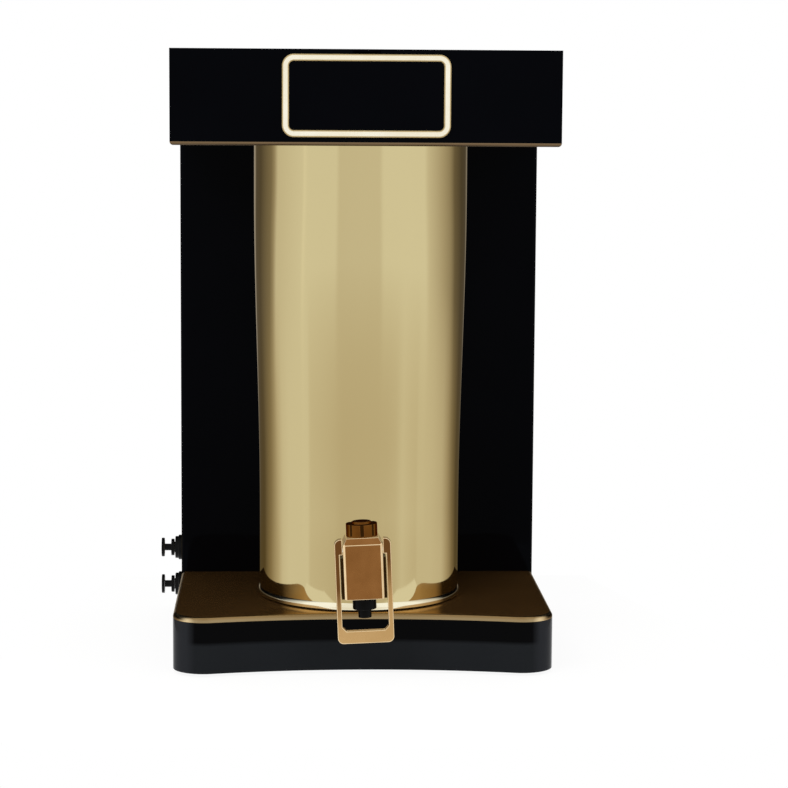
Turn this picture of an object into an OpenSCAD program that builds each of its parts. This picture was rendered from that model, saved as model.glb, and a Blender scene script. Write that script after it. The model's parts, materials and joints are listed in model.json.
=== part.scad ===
/* [Overall] */
// Width of the whole unit
unit_w = 325; // [315:1:360]
// Depth of the rear cabinet
cab_depth = 100; // [98:1:130]
// Thickness of the folded sheet metal
sheet = 1.2; // [0.8:0.1:1.6]
// Width of the flanges that join the sheet parts
flange_w = 14; // [12:1:16]
// Clearance around parts that are slid together
fit = 0.3; // [0.2:0.05:0.4]
// Radial clearance of a running fit
run_fit = 0.05; // [0.03:0.01:0.1]

/* [Base] */
// Height of the rubber feet
foot_h = 3; // [2.5:0.5:8]
// Radius of a rubber foot
foot_r = 11; // [8:0.5:14]
// Distance of the feet from the sides, the front and the back
foot_inset = 30; // [26:1:36]
// Height of the base from its lower edge to the deck
base_h = 49; // [47:1:70]
// Distance from the cabinet to the middle of the hollow front edge
base_reach = 190; // [188:1:215]
// Radius of the hollow front edge
front_hollow_r = 585; // [500:5:900]
// Radius of the two front corners
base_corner_r = 27; // [18:1:36]
// Thickness of the copper deck
deck_t = 1.5; // [1:0.1:2.5]
// Height of the deck's down-turned rim
deck_rim = 5; // [4:0.5:6]
// Step along the upper edge of the deck's rim
deck_step = 1; // [0.5:0.1:1]

/* [Cabinet] */
// Radius of the cabinet's two front edges
cab_corner_r = 4; // [3:0.5:8]
// Height of the bay between the deck and the head
bay_h = 396; // [392:1:440]
// Number of vent slots in the back cover
vent_count = 14; // [4:1:20]
// Width of a vent slot
vent_w = 3; // [2:0.5:3.5]
// Length of a vent slot
vent_l = 46; // [20:1:60]
// Distance between the two wall keyholes
keyhole_spacing = 200; // [160:1:220]
// Radius of a keyhole's entry
keyhole_r = 5; // [4:0.5:6]
// Radius of a keyhole's slot
keyhole_slot_r = 2.5; // [2:0.25:3]
// Bore radius of the cord grommet
grommet_bore_r = 3.6; // [2.5:0.1:4]

/* [Head] */
// Height of the head above its copper plate
head_h = 76.5; // [74:0.5:110]
// Distance that the head reaches in front of the cabinet
head_reach = 202; // [198:1:230]
// Thickness of the copper plate, and the radius of its rolled edge
head_plate = 3; // [2:0.5:5]
// Wall thickness of the head
head_wall = 1.5; // [1:0.1:2.5]
// Thickness of the lid
lid_t = 2; // [1.5:0.1:3]
// Gap around the lid
lid_gap = 0.5; // [0.4:0.1:1]
// Radius of the lid's hinge knuckle
knuckle_r = 4; // [3.5:0.25:6]
// Radius of a hinge pin
hinge_pin_r = 2; // [1.5:0.25:2.5]
// Radius of the finger notch in the lid's front edge
notch_r = 12; // [9:0.5:16]

/* [Badge] */
// Width of the badge frame
badge_w = 140; // [80:1:200]
// Height of the badge frame
badge_h = 68.5; // [50:0.5:70]
// Width of the frame's bar
badge_bar = 6; // [3:0.5:9]
// Outer corner radius of the frame
badge_r = 10; // [9.5:0.5:16]
// Depth of the frame
badge_depth = 2.5; // [2:0.1:4]
// Depth of the plate inside the frame
badge_plate_t = 1.2; // [0.8:0.1:1.6]

/* [Tank] */
// Radius of the lower part of the tank
tank_low_r = 87.6; // [84:0.1:89]
// Radius of the upper part of the tank
tank_top_r = 92.7; // [90:0.1:94]
// Sideways place of the tank and the tap
tank_x = -1.5; // [-4:0.5:4]
// Height above the deck at which the flare starts
flare_up = 80; // [70:1:120]
// Height of the flare
flare_h = 270; // [150:1:300]
// Wall thickness of the tank
tank_wall = 1.5; // [1:0.1:2]
// Gap between the top of the tank and the cabinet
tank_gap = 2; // [1:0.5:6]
// Height of the seat ring under the tank
tank_lift = 2.5; // [1.5:0.5:6]
// Radius of the bead around the tank's foot
bead_r = 5; // [4:0.1:6]
// Distance that the bead stands out from the tank
bead_out = 1.5; // [1:0.1:2]
// Height of the tank's neck above the head's plate
neck_h = 9; // [8:0.5:14]

/* [Tap] */
// Turn of the whole tap about its shank, in degrees
tap_lean = 2.5; // [0:0.5:5]
// Height of the shank's axis above the deck
tap_up = 44; // [42:0.5:60]
// Distance from the tank to the back of the tap's body
tap_stand_off = 21; // [16:0.5:30]
// Width and depth of the tap's body
tap_w = 33; // [31:0.5:34]
// Height of the body's front face
tap_face_h = 46; // [46:0.5:50]
// Height of the bevel above the front face
tap_bevel_h = 5.5; // [3:0.5:6]
// Width of the body's top bevel
tap_bevel_w = 3; // [1:0.5:3]
// Bevel of the body's upright edges
tap_edge = 1.5; // [0.5:0.1:2.5]
// Radius of the fluted bonnet
bonnet_r = 13.2; // [13:0.1:15]
// Height of the fluted bonnet
bonnet_h = 10.5; // [10:0.5:14]
// Number of flutes around the bonnet
bonnet_flutes = 8; // [6:1:18]
// Radius of the disc on the bonnet
disc_r = 7.7; // [5:0.1:10]
// Height of the disc on the bonnet
disc_h = 1.8; // [1.5:0.1:5]
// Radius of the nozzle's upper step
nozzle_top_r = 10; // [9:0.1:12]
// Height of the nozzle's upper step
nozzle_top_h = 10.5; // [8:0.5:12]
// Radius of the nozzle's lower step
nozzle_tip_r = 5.6; // [5.5:0.1:7]
// Height of the nozzle's lower step
nozzle_tip_h = 7.5; // [6:0.5:9]
// Bore radius of the nozzle
nozzle_bore_r = 4; // [3:0.1:4.5]
// Outer width of the bail
bail_w = 47.2; // [46:0.2:52]
// Height of the bail
bail_h = 88.5; // [84:0.5:92]
// Width of the bail's arms
bail_arm = 4.2; // [3:0.1:5]
// Height of the bail's bar
bail_bar = 10.5; // [6:0.5:11]
// Thickness of the bail
bail_t = 7; // [5:0.5:8]
// Outer corner radius of the bail
bail_r = 5; // [3:0.5:6]
// Bevel of the bail's inner corners
bail_inner = 3.5; // [2:0.5:5]
// Radius of the valve stem
stem_r = 3; // [2.5:0.1:3.2]
// Distance from the pivot to the valve stem
lever_arm = 7.5; // [7.3:0.1:7.6]
// Radius of the tap's pivot pin
pivot_r = 2; // [1.5:0.1:2.2]
// Radius of the shank's thread
shank_r = 8; // [7.5:0.1:9]
// Thickness of the shank's washers
washer_t = 3; // [2:0.5:4]
// Wire radius of the valve spring
spring_wire_r = 0.6; // [0.4:0.05:0.7]
// Number of turns of the valve spring
spring_turns = 4; // [3:0.5:4.5]

/* [Side fittings] */
// Radius of the plastic tubing
tube_r = 3.175; // [3:0.025:3.3]
// Bore radius of the plastic tubing
tube_bore_r = 2.1; // [1.5:0.1:2.3]
// Height of the inlet above the base's lower edge
inlet_up = 63; // [60:0.5:66]
// Height of the drain above the base's lower edge
drain_up = 28; // [24:0.5:31]
// Radius of a fitting's thread
port_thread_r = 8.5; // [8.2:0.1:9]
// Radius of a fitting's flange
port_flange_r = 11.6; // [11:0.1:13]
// Thickness of a fitting's flange
port_flange_t = 4.6; // [3:0.1:6]
// Radius of a fitting's body outside the flange
port_body_r = 10.3; // [9:0.1:11]
// Length of a fitting's body outside the flange
port_body_l = 3.1; // [2:0.1:6]
// Length of a fitting inside the wall
port_inner_l = 22; // [20:0.5:26]
// Radius of a release collet's flange
collet_r = 7.8; // [7:0.1:9]
// Thickness of a release collet's flange
collet_t = 2.8; // [2:0.1:4]
// Travel of a release collet
collet_travel = 1; // [0.8:0.1:2]
// Radius of a blanking plug's head
plug_r = 8.8; // [7:0.1:10]
// Thickness of a blanking plug's head
plug_t = 2.6; // [2:0.1:4]
// Gap between a blanking plug's head and the collet
plug_neck = 6.4; // [4:0.1:10]

/* [Water path] */
// Distance of the cartridges behind the cabinet's front
pipe_in = 50; // [49:0.5:52]
// Distance of the return tubes behind the cabinet's front
return_in = 88; // [87:0.5:90]
// Height of the cartridges above the base's lower edge
cartridge_up = 150; // [146:1:156]
// Length of a cartridge
cartridge_h = 240; // [200:1:250]
// Radius of a cartridge
cartridge_r = 25; // [22:0.5:26]
// Radius of the membrane housing
membrane_r = 26; // [24:0.5:26.5]
// Radius of the caps of the membrane housing
membrane_cap_r = 27.5; // [27:0.5:28]
// Sideways place of the sediment cartridge
sediment_x = -105; // [-110:1:-100]
// Sideways place of the carbon cartridge
carbon_x = -40; // [-45:1:-36]
// Sideways place of the membrane housing
membrane_x = 27; // [26:1:30]
// Sideways place of the mineral cartridge
mineral_x = 95; // [92:1:100]
// Radius of the pump's motor
motor_r = 26; // [22:0.5:28]
// Length of the pump's motor
motor_l = 58; // [40:1:62]
// Height of the pump's axis above the base's lower edge
pump_up = 62; // [58:1:66]
// Length of the power supply
supply_l = 90; // [70:1:100]
// Depth of the power supply
supply_d = 40; // [30:1:48]
// Height of the power supply
supply_h = 40; // [30:1:48]
// Radius of the ultraviolet chamber
uv_r = 20; // [16:0.5:22]
// Length of the ultraviolet chamber
uv_l = 220; // [210:1:260]
// Radius of the float
float_r = 14; // [10:0.5:16]
// Travel of the float along its stem
float_travel = 14; // [8:1:20]

/* [Hidden] */
$fn = 64;

// Colours
black_gloss = "#101114";
black_plastic = "#1a1b1e";
rubber_black = "#242424";
copper = "#6b4626";
rose_gold = "#a97843";
pale_gold = "#cdb987";
steel = "#b8bcc0";
white_plastic = "#e8e8e4";

// Allowance by which a cut runs past a face
past = 1;
// Screws of the case
screw_r = 1.9;
screw_head_r = 3.4;
screw_head_h = 1.8;
screw_l = 9;
screw_hole_r = screw_r + fit / 2;

// A length rounded to a hundredth of a millimetre
function rounded(x) = round(100 * x) / 100;

// Levels
half_w = rounded(unit_w / 2);
base_z = foot_h;
deck_z = base_z + base_h;
head_z = deck_z + bay_h;
shell_z = head_z + head_plate;
top_z = shell_z + head_h;

// Plan of the base, measured from the cabinet's front
hollow_cy = -(base_reach + front_hollow_r);
corner_cx = half_w - base_corner_r;
corner_cy = hollow_cy + rounded(sqrt(pow(front_hollow_r + base_corner_r, 2) - corner_cx * corner_cx));
corner_angle = atan2(corner_cy - hollow_cy, corner_cx);
base_tip = base_corner_r - corner_cy;

// Planes across the depth: the origin is in the middle of the footprint
cab_front = rounded((base_tip - cab_depth) / 2);
cab_back = cab_front + cab_depth;
head_front = cab_front - head_reach;
tank_y = rounded(cab_front - tank_gap - max(tank_top_r, tank_low_r + bead_out));
pipe_y = cab_front + pipe_in;
return_y = cab_front + return_in;

// Places of the case's screws
lip_z = base_z + sheet;
flange_mid = half_w - sheet - flange_w / 2;
base_screw_y = [cab_front + corner_cy + flange_w, cab_front - sheet - 2 * flange_w];
cab_screw_y = [cab_front + cab_corner_r + flange_w, cab_back - 3 * flange_w];
head_screw_y = [cab_front + cab_corner_r + flange_w, cab_back - 2 * flange_w];
join_screw_z = [base_z + base_h / 3, base_z + base_h * 2 / 3];
cover_screw_z = [base_z + 5 * flange_w, (base_z + head_z) / 2, head_z - 3 * flange_w];

// Tank
tank_z = deck_z + tank_lift;
tank_top_z = shell_z + neck_h;
tank_steps = 24;
lid_plate_t = 2;
lid_r = tank_top_r + fit + lid_plate_t;
lid_skirt_gap = 3;
lid_skirt_h = neck_h - lid_skirt_gap;
gasket_t = 1;
lid_z = tank_top_z + gasket_t;
lid_top_z = lid_z + lid_plate_t;
fill_x = tank_x - rounded(tank_low_r * 0.67);
fill_y = tank_y + rounded(tank_low_r * 0.28);
fill_nipple_h = 12;
float_x = tank_x + rounded(tank_low_r * 0.46);
float_y = tank_y + rounded(tank_low_r * 0.23);
float_stem_r = 4;
float_stem_l = 110;
float_h = 24;
float_stop_h = 3;
float_z = lid_z - float_stem_l + float_stop_h + fit;

// Tap, in its own frame: the origin is on the tank's axis and the shank lies along Y
tap_z = deck_z + tap_up;
face_top = tap_face_h / 2;
body_top = face_top + tap_bevel_h;
body_low = -face_top;
body_back = -(tank_low_r + tap_stand_off);
body_y = body_back - tap_w / 2;
seat_up = 6;
seat_z = body_low + seat_up;
wet_top = 6;
dry_z = 10;
wet_r = 8;
dry_r = 12;
pivot_z = 18;
pivot_y = body_y - lever_arm;
hub_wall = 1.2;
hub_r = pivot_r + hub_wall;
hub_cheek = 1.6;
hub_half = stem_r + fit + hub_cheek;
prong_t = 3;
prong_past = 3;
collar_r = 7;
collar_h = 3;
prong_top = pivot_z + hub_r;
collar_z = prong_top + fit;
cavity_r = 8.5;
cavity_roof = 2;
cavity_top = body_top + bonnet_h - cavity_roof;
seal_r = 7;
seal_h = 3;
seal_z = seat_z + run_fit;
stem_room = 4;
stem_top = cavity_top - stem_room;
ring_r = 1;
spigot_r = 7;
spigot_l = 6;
nozzle_spigot_l = 4;
outlet_r = 4.5;
shank_collar_r = 13;
shank_collar_l = 5;
nut_l = 8;
nut_across = 24;
lug_drop = 3.7;
bail_rise = 9.5;
lug_low = pivot_z - lug_drop;
bail_top = pivot_z + bail_rise;
bail_low = bail_top - bail_h;
lug_gap = 0.4;
pin_skin = 0.9;
spring_r = 5.6;

// Side fittings: distances outwards from the cabinet's side
port_end = port_flange_t + port_body_l;
collet_z = port_end + collet_travel;
collet_end = collet_z + collet_t;
collet_sleeve_r = 5;
collet_bore_z = -2;
tube_stop_z = -12;
waterway_r = 2;
plug_z = collet_end + plug_neck;
locknut_l = 7;
locknut_across = 25;
inlet_z = base_z + inlet_up;
drain_z = base_z + drain_up;
port_inner_x = -half_w + port_inner_l;

// Water path
bend_r = 9;
nipple_r = 7;
nipple_h = 10;
cartridge_z = base_z + cartridge_up;
nipple_low = cartridge_z - nipple_h;
nipple_high = cartridge_z + cartridge_h + nipple_h;
// The upper tubes lie above their bends by this share of the room that is left under the head
bridge_share = 1 / 4;
bridge_rise = rounded(bend_r + bridge_share * (head_z - nipple_high - bend_r));
bridge_z = nipple_high + bridge_rise;
drain_offset = 17;
chassis_in = 20;
chassis_up = 54;
chassis_y = cab_front + chassis_in;
chassis_low = base_z + chassis_up;
chassis_flange = 12;
chassis_back = chassis_y + sheet;
clip_t = 2.5;
clip_h = 14;
clip_up = [rounded(cartridge_h * 5 / 24), rounded(cartridge_h * 19 / 24)];
valve_half = 15;
coil_r = 12;
coil_h = 20;
port_l = 8;
port_r = 6;
pump_side_gap = 14.5;
pump_head_l = 28;
pump_head_r = 27;
pump_in_rise = 12;
pump_out_rise = 2 * bend_r;
valve_gap = 42;
pump_x = half_w - pump_side_gap - pump_head_l - motor_l;
pump_z = base_z + pump_up;
pump_out_x = pump_x + pump_head_l / 2;
pump_bridge_z = pump_z + pump_head_r + port_l + pump_out_rise;
valve_x = pump_x - valve_gap;
valve_z = pump_z + pump_in_rise;
valve_end_x = valve_x + valve_half + port_l;
pump_in_x = pump_x - port_l;
restrictor_gap = 42.5;
restrictor_l = 50;
restrictor_r = 7;
drain_turn_x = port_inner_x + 2 * bend_r;
restrictor_x = drain_turn_x + restrictor_gap;
uv_cap_out = 2;
uv_cap_r = uv_r + uv_cap_out;
uv_top_gap = 5.5;
uv_z = top_z - lid_t - uv_top_gap - uv_cap_r;
uv_cap_l = 12;
uv_wall = 1.2;
lamp_r = 8;
uv_out_x = fill_x;
uv_port_y = pipe_y - uv_r - port_l;
uv_port_z = uv_z - uv_r - port_l;
uv_bridge_rise = 8;
uv_bridge_z = shell_z + uv_bridge_rise;
floor_z = base_z + sheet;

// Parts that repeat

module ring(outer_r, inner_r, h) {
  difference() {
    cylinder(r = outer_r, h = h);
    translate([0, 0, -past])
      cylinder(r = inner_r, h = h + 2 * past);
  }
}

module rounded_rect(w, h, r) {
  square([w - 2 * r, h], center = true);
  square([w, h - 2 * r], center = true);
  for (sx = [-1, 1], sy = [-1, 1])
    translate([sx * (w / 2 - r), sy * (h / 2 - r)])
      circle(r);
}

module quarter_disc(r) {
  intersection() {
    circle(r);
    square(r);
  }
}

module block(low, high) {
  translate(low)
    cube(high - low);
}

// A cylinder along X from x1 to x2 at height z in the depth y
module rod_x(x1, x2, y, z, r) {
  translate([x1, y, z])
    rotate([0, 90, 0])
      cylinder(r = r, h = x2 - x1);
}

// A cylinder along Y from y1 to y2 at x and z
module rod_y(y1, y2, x, z, r) {
  translate([x, y1, z])
    rotate([-90, 0, 0])
      cylinder(r = r, h = y2 - y1);
}

module both_sides() {
  children();
  mirror([1, 0, 0])
    children();
}

// A screw along +Z with the underside of its head at the origin
module screw() {
  translate([0, 0, -screw_head_h])
    cylinder(r = screw_head_r, h = screw_head_h);
  cylinder(r = screw_r, h = screw_l);
}

module screw_hole() {
  translate([0, 0, -screw_l])
    cylinder(r = screw_hole_r, h = 2 * screw_l);
}

// Places of the screws that hold the floors, the base and the head
module at_floor_screws() {
  for (y = concat(base_screw_y, cab_screw_y))
    both_sides()
      translate([flange_mid, y, base_z])
        children();
}

module at_join_screws() {
  for (z = join_screw_z)
    both_sides()
      translate([flange_mid, cab_front + sheet, z])
        rotate([90, 0, 0])
          children();
}

module at_head_screws() {
  for (y = head_screw_y)
    both_sides()
      translate([flange_mid, y, head_z - sheet])
        children();
}

module at_cover_screws() {
  for (z = cover_screw_z)
    both_sides()
      translate([flange_mid, cab_back, z])
        rotate([90, 0, 0])
          children();
}

// Base

// Plan of the base, drawn in all round by inset, with its back edge behind the cabinet's front by back
module base_plan(inset, back = 0) {
  r = base_corner_r - inset;
  touch_x = rounded(corner_cx - r * cos(corner_angle));
  side_x = half_w - inset;
  translate([0, cab_front]) {
    difference() {
      translate([-touch_x, -base_tip])
        square([2 * touch_x, base_tip + back]);
      translate([0, hollow_cy])
        circle(front_hollow_r + inset, $fn = 360);
    }
    for (s = [-1, 1]) {
      difference() {
        translate([s * corner_cx, corner_cy])
          circle(r);
        translate([s > 0 ? touch_x - 2 * r : -touch_x, corner_cy - 2 * r])
          square([2 * r, 4 * r]);
      }
      translate([s > 0 ? touch_x - past : -side_x, corner_cy])
        square([side_x - touch_x + past, back - corner_cy]);
    }
  }
}

module base_shell() {
  color(black_gloss)
    difference() {
      union() {
        translate([0, 0, base_z])
          linear_extrude(base_h - deck_rim)
            difference() {
              base_plan(0);
              base_plan(sheet, past);
            }
        translate([0, 0, lip_z])
          linear_extrude(sheet)
            difference() {
              base_plan(sheet / 2);
              base_plan(sheet + flange_w, past);
            }
        both_sides()
          block([half_w - sheet - flange_w, cab_front - sheet, lip_z],
                [half_w - sheet / 2, cab_front, deck_z - deck_rim]);
      }
      at_floor_screws()
        screw_hole();
      at_join_screws()
        screw_hole();
    }
}

module base_deck() {
  color(copper)
    union() {
      translate([0, 0, deck_z - deck_t])
        linear_extrude(deck_t)
          base_plan(deck_step);
      translate([0, 0, deck_z - deck_rim])
        linear_extrude(deck_rim - deck_step)
          difference() {
            base_plan(0);
            base_plan(deck_rim - deck_step, past);
          }
    }
}

module base_floor() {
  color(black_plastic)
    difference() {
      translate([0, 0, base_z])
        linear_extrude(sheet)
          base_plan(sheet + fit);
      at_floor_screws()
        screw_hole();
    }
}

module cabinet_floor() {
  color(black_plastic)
    difference() {
      translate([0, 0, base_z])
        linear_extrude(sheet)
          cabinet_plan(sheet + fit, -2 * sheet - fit);
      at_floor_screws()
        screw_hole();
    }
}

module feet() {
  color(rubber_black)
    for (y = [cab_front + corner_cy - base_corner_r + foot_inset + sheet, cab_back - foot_inset])
      both_sides()
        translate([half_w - foot_inset, y, 0])
          cylinder(r = foot_r, h = foot_h);
}

module case_screws() {
  color(steel) {
    at_floor_screws()
      screw();
    at_join_screws()
      screw();
    at_head_screws()
      screw();
  }
}

// Cabinet

// Plan of the cabinet, drawn in by inset, with its back edge behind the cabinet's back by back
module cabinet_plan(inset, back = 0) {
  r = cab_corner_r - inset;
  translate([-half_w + inset, cab_front + cab_corner_r])
    square([2 * (half_w - inset), cab_depth - cab_corner_r + back]);
  translate([-half_w + cab_corner_r, cab_front + inset])
    square([2 * (half_w - cab_corner_r), cab_depth - inset + back]);
  for (s = [-1, 1])
    translate([s * (half_w - cab_corner_r), cab_front + cab_corner_r])
      circle(r);
}

// A flange along each side of the cabinet, at height z
module side_flanges(z) {
  both_sides()
    block([half_w - sheet - flange_w, cab_front + cab_corner_r, z],
          [half_w - sheet / 2, cab_back - 1.5 * sheet, z + sheet]);
}

module cabinet_shell() {
  color(black_gloss)
    difference() {
      union() {
        translate([0, 0, base_z])
          linear_extrude(head_z - base_z)
            difference() {
              cabinet_plan(0, -sheet);
              cabinet_plan(sheet, past);
            }
        side_flanges(lip_z);
        side_flanges(head_z - sheet);
        both_sides()
          block([half_w - sheet - flange_w, cab_back - 2 * sheet, lip_z],
                [half_w - sheet / 2, cab_back - sheet, head_z]);
      }
      at_floor_screws()
        screw_hole();
      at_join_screws()
        screw_hole();
      at_head_screws()
        screw_hole();
      at_cover_screws()
        screw_hole();
      for (z = [inlet_z, drain_z])
        rod_x(-half_w - past, -half_w + sheet + past, pipe_y, z, port_thread_r + fit);
    }
}

keyhole_drop = 60;
keyhole_rise = 9;
keyhole_z = head_z - keyhole_drop;
grommet_in = 60;
grommet_up = 40;
grommet_wall = 3.5;
grommet_x = half_w - grommet_in;
grommet_z = base_z + grommet_up;
grommet_r = grommet_bore_r + grommet_wall;
vent_up = 110;
vent_pitch = 9;
vent_z = base_z + vent_up;

module back_cover() {
  cut_front = cab_back - sheet - past;
  cut_back = cab_back + past;
  color(black_plastic)
    difference() {
      block([-half_w, cab_back - sheet, base_z], [half_w, cab_back, head_z - fit]);
      at_cover_screws()
        screw_hole();
      for (x = [-keyhole_spacing / 2, keyhole_spacing / 2]) {
        rod_y(cut_front, cut_back, x, keyhole_z, keyhole_r);
        rod_y(cut_front, cut_back, x, keyhole_z + keyhole_rise, keyhole_slot_r);
        block([x - keyhole_slot_r, cut_front, keyhole_z],
              [x + keyhole_slot_r, cut_back, keyhole_z + keyhole_rise]);
      }
      rod_y(cut_front, cut_back, grommet_x, grommet_z, grommet_r);
      for (i = [0 : vent_count - 1], x = [-vent_l, vent_l])
        block([x - vent_l / 2, cut_front, vent_z + i * vent_pitch],
              [x + vent_l / 2, cut_back, vent_z + i * vent_pitch + vent_w]);
    }
}

module back_cover_screws() {
  color(steel)
    at_cover_screws()
      screw();
}

grommet_lip = 2.5;

module cord_grommet() {
  color(rubber_black)
    difference() {
      union() {
        rod_y(cab_back - sheet, cab_back, grommet_x, grommet_z, grommet_r - run_fit);
        rod_y(cab_back, cab_back + grommet_lip, grommet_x, grommet_z, grommet_r + grommet_lip);
        rod_y(cab_back - sheet - grommet_lip, cab_back - sheet, grommet_x, grommet_z, grommet_r + grommet_lip);
      }
      rod_y(cab_back - 2 * grommet_r, cab_back + 2 * grommet_r, grommet_x, grommet_z, grommet_bore_r);
    }
}

module chassis_plate() {
  color(steel) {
    block([-half_w + sheet, chassis_y, chassis_low], [half_w - sheet, chassis_back, bridge_z]);
    both_sides()
      block([half_w - 2 * sheet, chassis_y, chassis_low],
            [half_w - sheet, chassis_y + chassis_flange, bridge_z]);
  }
}

// A spring clip around a cartridge of radius r, open towards the back
module clip(r) {
  inner_r = r + fit;
  outer_r = inner_r + clip_t;
  difference() {
    union() {
      cylinder(r = outer_r, h = clip_h);
      translate([-outer_r / 2, chassis_back - pipe_y, 0])
        cube([outer_r, pipe_y - chassis_back, clip_h]);
    }
    translate([0, 0, -past])
      cylinder(r = inner_r, h = clip_h + 2 * past);
    translate([-outer_r, inner_r / 2, -past])
      cube([2 * outer_r, outer_r, clip_h + 2 * past]);
    translate([-outer_r, -outer_r - (pipe_y - chassis_back), -past])
      cube([2 * outer_r, outer_r, clip_h + 2 * past]);
  }
}

module cartridge_clips() {
  color(white_plastic)
    for (up = clip_up) {
      for (x = [sediment_x, carbon_x, mineral_x])
        translate([x, pipe_y, cartridge_z + up])
          clip(cartridge_r);
      translate([membrane_x, pipe_y, cartridge_z + up])
        clip(membrane_r);
    }
}

// Head

module head_floor() {
  color(copper)
    difference() {
      intersection() {
        translate([0, cab_back, shell_z])
          rotate([90, 0, 0])
            linear_extrude(cab_back - head_front)
              for (s = [0, 1])
                mirror([s, 0]) {
                  translate([0, -head_plate])
                    square([half_w - head_plate, head_plate]);
                  translate([half_w - head_plate, 0])
                    mirror([0, 1])
                      quarter_disc(head_plate);
                }
        translate([-half_w, 0, shell_z])
          rotate([90, 0, 90])
            linear_extrude(2 * half_w) {
              translate([head_front + head_plate, -head_plate])
                square([cab_back - head_front - head_plate, head_plate]);
              translate([head_front + head_plate, 0])
                rotate(180)
                  quarter_disc(head_plate);
            }
      }
      translate([tank_x, tank_y, head_z - past])
        cylinder(r = tank_top_r + fit, h = head_plate + 2 * past);
      translate([mineral_x, return_y, head_z - past])
        cylinder(r = tube_r + 2, h = head_plate + 2 * past);
      at_head_screws()
        screw_hole();
    }
}

ledge_w = 8;
hinge_y = cab_back - head_wall - lid_gap - knuckle_r;
hinge_z = top_z - knuckle_r;

module head_shell() {
  ledge_z = top_z - lid_t - head_wall;
  ledge_back = hinge_y - knuckle_r - ledge_w;
  inner_w = half_w - head_wall;
  mid_wall = half_w - head_wall / 2;
  color(black_gloss)
    difference() {
      union() {
        difference() {
          block([-half_w, head_front, shell_z], [half_w, cab_back, top_z]);
          block([-inner_w, head_front + head_wall, shell_z - past],
                [inner_w, cab_back - head_wall, top_z + past]);
        }
        block([-mid_wall, head_front + head_wall / 2, ledge_z],
              [mid_wall, head_front + head_wall + ledge_w, ledge_z + head_wall]);
        both_sides() {
          block([inner_w - ledge_w, head_front + head_wall / 2, ledge_z],
                [mid_wall, ledge_back, ledge_z + head_wall]);
          block([half_w - sheet - flange_w, head_front + head_wall / 2, shell_z],
                [mid_wall, cab_back - head_wall / 2, shell_z + head_wall]);
        }
      }
      both_sides()
        rod_x(inner_w - past, half_w + past, hinge_y, hinge_z, hinge_pin_r + run_fit);
      at_head_screws()
        screw_hole();
      translate([0, head_front + head_wall + lid_gap, ledge_z - past])
        cylinder(r = notch_r, h = head_wall + 2 * past);
    }
}

pin_l = 14;

module head_lid() {
  lid_half = half_w - head_wall - lid_gap;
  lid_front = head_front + head_wall + lid_gap;
  color(black_gloss)
    difference() {
      union() {
        block([-lid_half, lid_front, top_z - lid_t], [lid_half, hinge_y, top_z]);
        rod_x(-lid_half, lid_half, hinge_y, hinge_z, knuckle_r);
      }
      both_sides()
        rod_x(lid_half - pin_l, lid_half + past, hinge_y, hinge_z, hinge_pin_r + run_fit);
      translate([0, lid_front, top_z - lid_t - past])
        cylinder(r = notch_r, h = lid_t + 2 * past);
    }
}

module lid_hinge_pins() {
  color(steel)
    both_sides()
      rod_x(half_w - pin_l, half_w, hinge_y, hinge_z, hinge_pin_r);
}

badge_z = shell_z + head_h / 2;

module at_badge() {
  translate([0, head_front, badge_z])
    rotate([90, 0, 0])
      children();
}

module badge_frame() {
  color(pale_gold)
    at_badge()
      linear_extrude(badge_depth)
        difference() {
          rounded_rect(badge_w, badge_h, badge_r);
          rounded_rect(badge_w - 2 * badge_bar, badge_h - 2 * badge_bar, badge_r - badge_bar);
        }
}

module badge_plate() {
  inset = badge_bar + run_fit;
  color(black_gloss)
    at_badge()
      linear_extrude(badge_plate_t)
        rounded_rect(badge_w - 2 * inset, badge_h - 2 * inset, badge_r - inset);
}

board_h = 40;
board_l = 80;
board_t = 1.6;
board_in = 72.5;
board_up = 8;
standoff_l = 6;
standoff_r = 3;
chip_t = 4;

module control_board() {
  wall_y = cab_back - head_wall;
  board_y = wall_y - standoff_l;
  board_x = -half_w + board_in;
  board_z = shell_z + board_up;
  color("seagreen") {
    block([board_x, board_y - board_t, board_z], [board_x + board_l, board_y, board_z + board_h]);
    for (x = [standoff_r, board_l - standoff_r], z = [standoff_r, board_h - standoff_r])
      rod_y(board_y - board_t / 2, wall_y, board_x + x, board_z + z, standoff_r);
    for (i = [0 : 2])
      translate([board_x + board_l * (i + 1) / 5, board_y - board_t - chip_t, board_z + board_h / 4])
        cube([board_l / 8, chip_t + board_t / 2, board_h / 2]);
  }
}

// Tank

// Outer radius of the tank at a height above the deck
function tank_radius(up) =
  let (t = min(max((up - flare_up) / flare_h, 0), 1))
  tank_low_r + (tank_top_r - tank_low_r) * t * t * (3 - 2 * t);

// Points of the tank's wall from its foot to its rim, drawn in by inset
function tank_side(low, inset) =
  [for (i = [0 : tank_steps])
    let (z = low + (tank_top_z - low) * i / tank_steps)
    [tank_radius(z - deck_z) - inset, z]];

module tank_shell() {
  inside = tank_side(tank_z + tank_wall, tank_wall);
  color(pale_gold)
    difference() {
      translate([tank_x, tank_y, 0])
        rotate_extrude($fn = 128)
          polygon(concat(
            [[0, tank_z]],
            tank_side(tank_z, 0),
            [for (i = [tank_steps : -1 : 0]) inside[i]],
            [[0, tank_z + tank_wall]]));
      in_tap_frame()
        rod_y(-tank_low_r - past, -tank_low_r + tank_wall + 2 * past, 0, 0, shank_r + fit);
    }
}

// Height of the bead's widest part above the tank's foot
bead_up = 0.8;

module tank_foot_ring() {
  color(pale_gold)
    translate([tank_x, tank_y, tank_z])
      rotate_extrude($fn = 128)
        intersection() {
          translate([tank_low_r + bead_out - bead_r, bead_up])
            circle(bead_r);
          translate([tank_low_r + run_fit, 0])
            square(2 * bead_r);
        }
}

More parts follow.
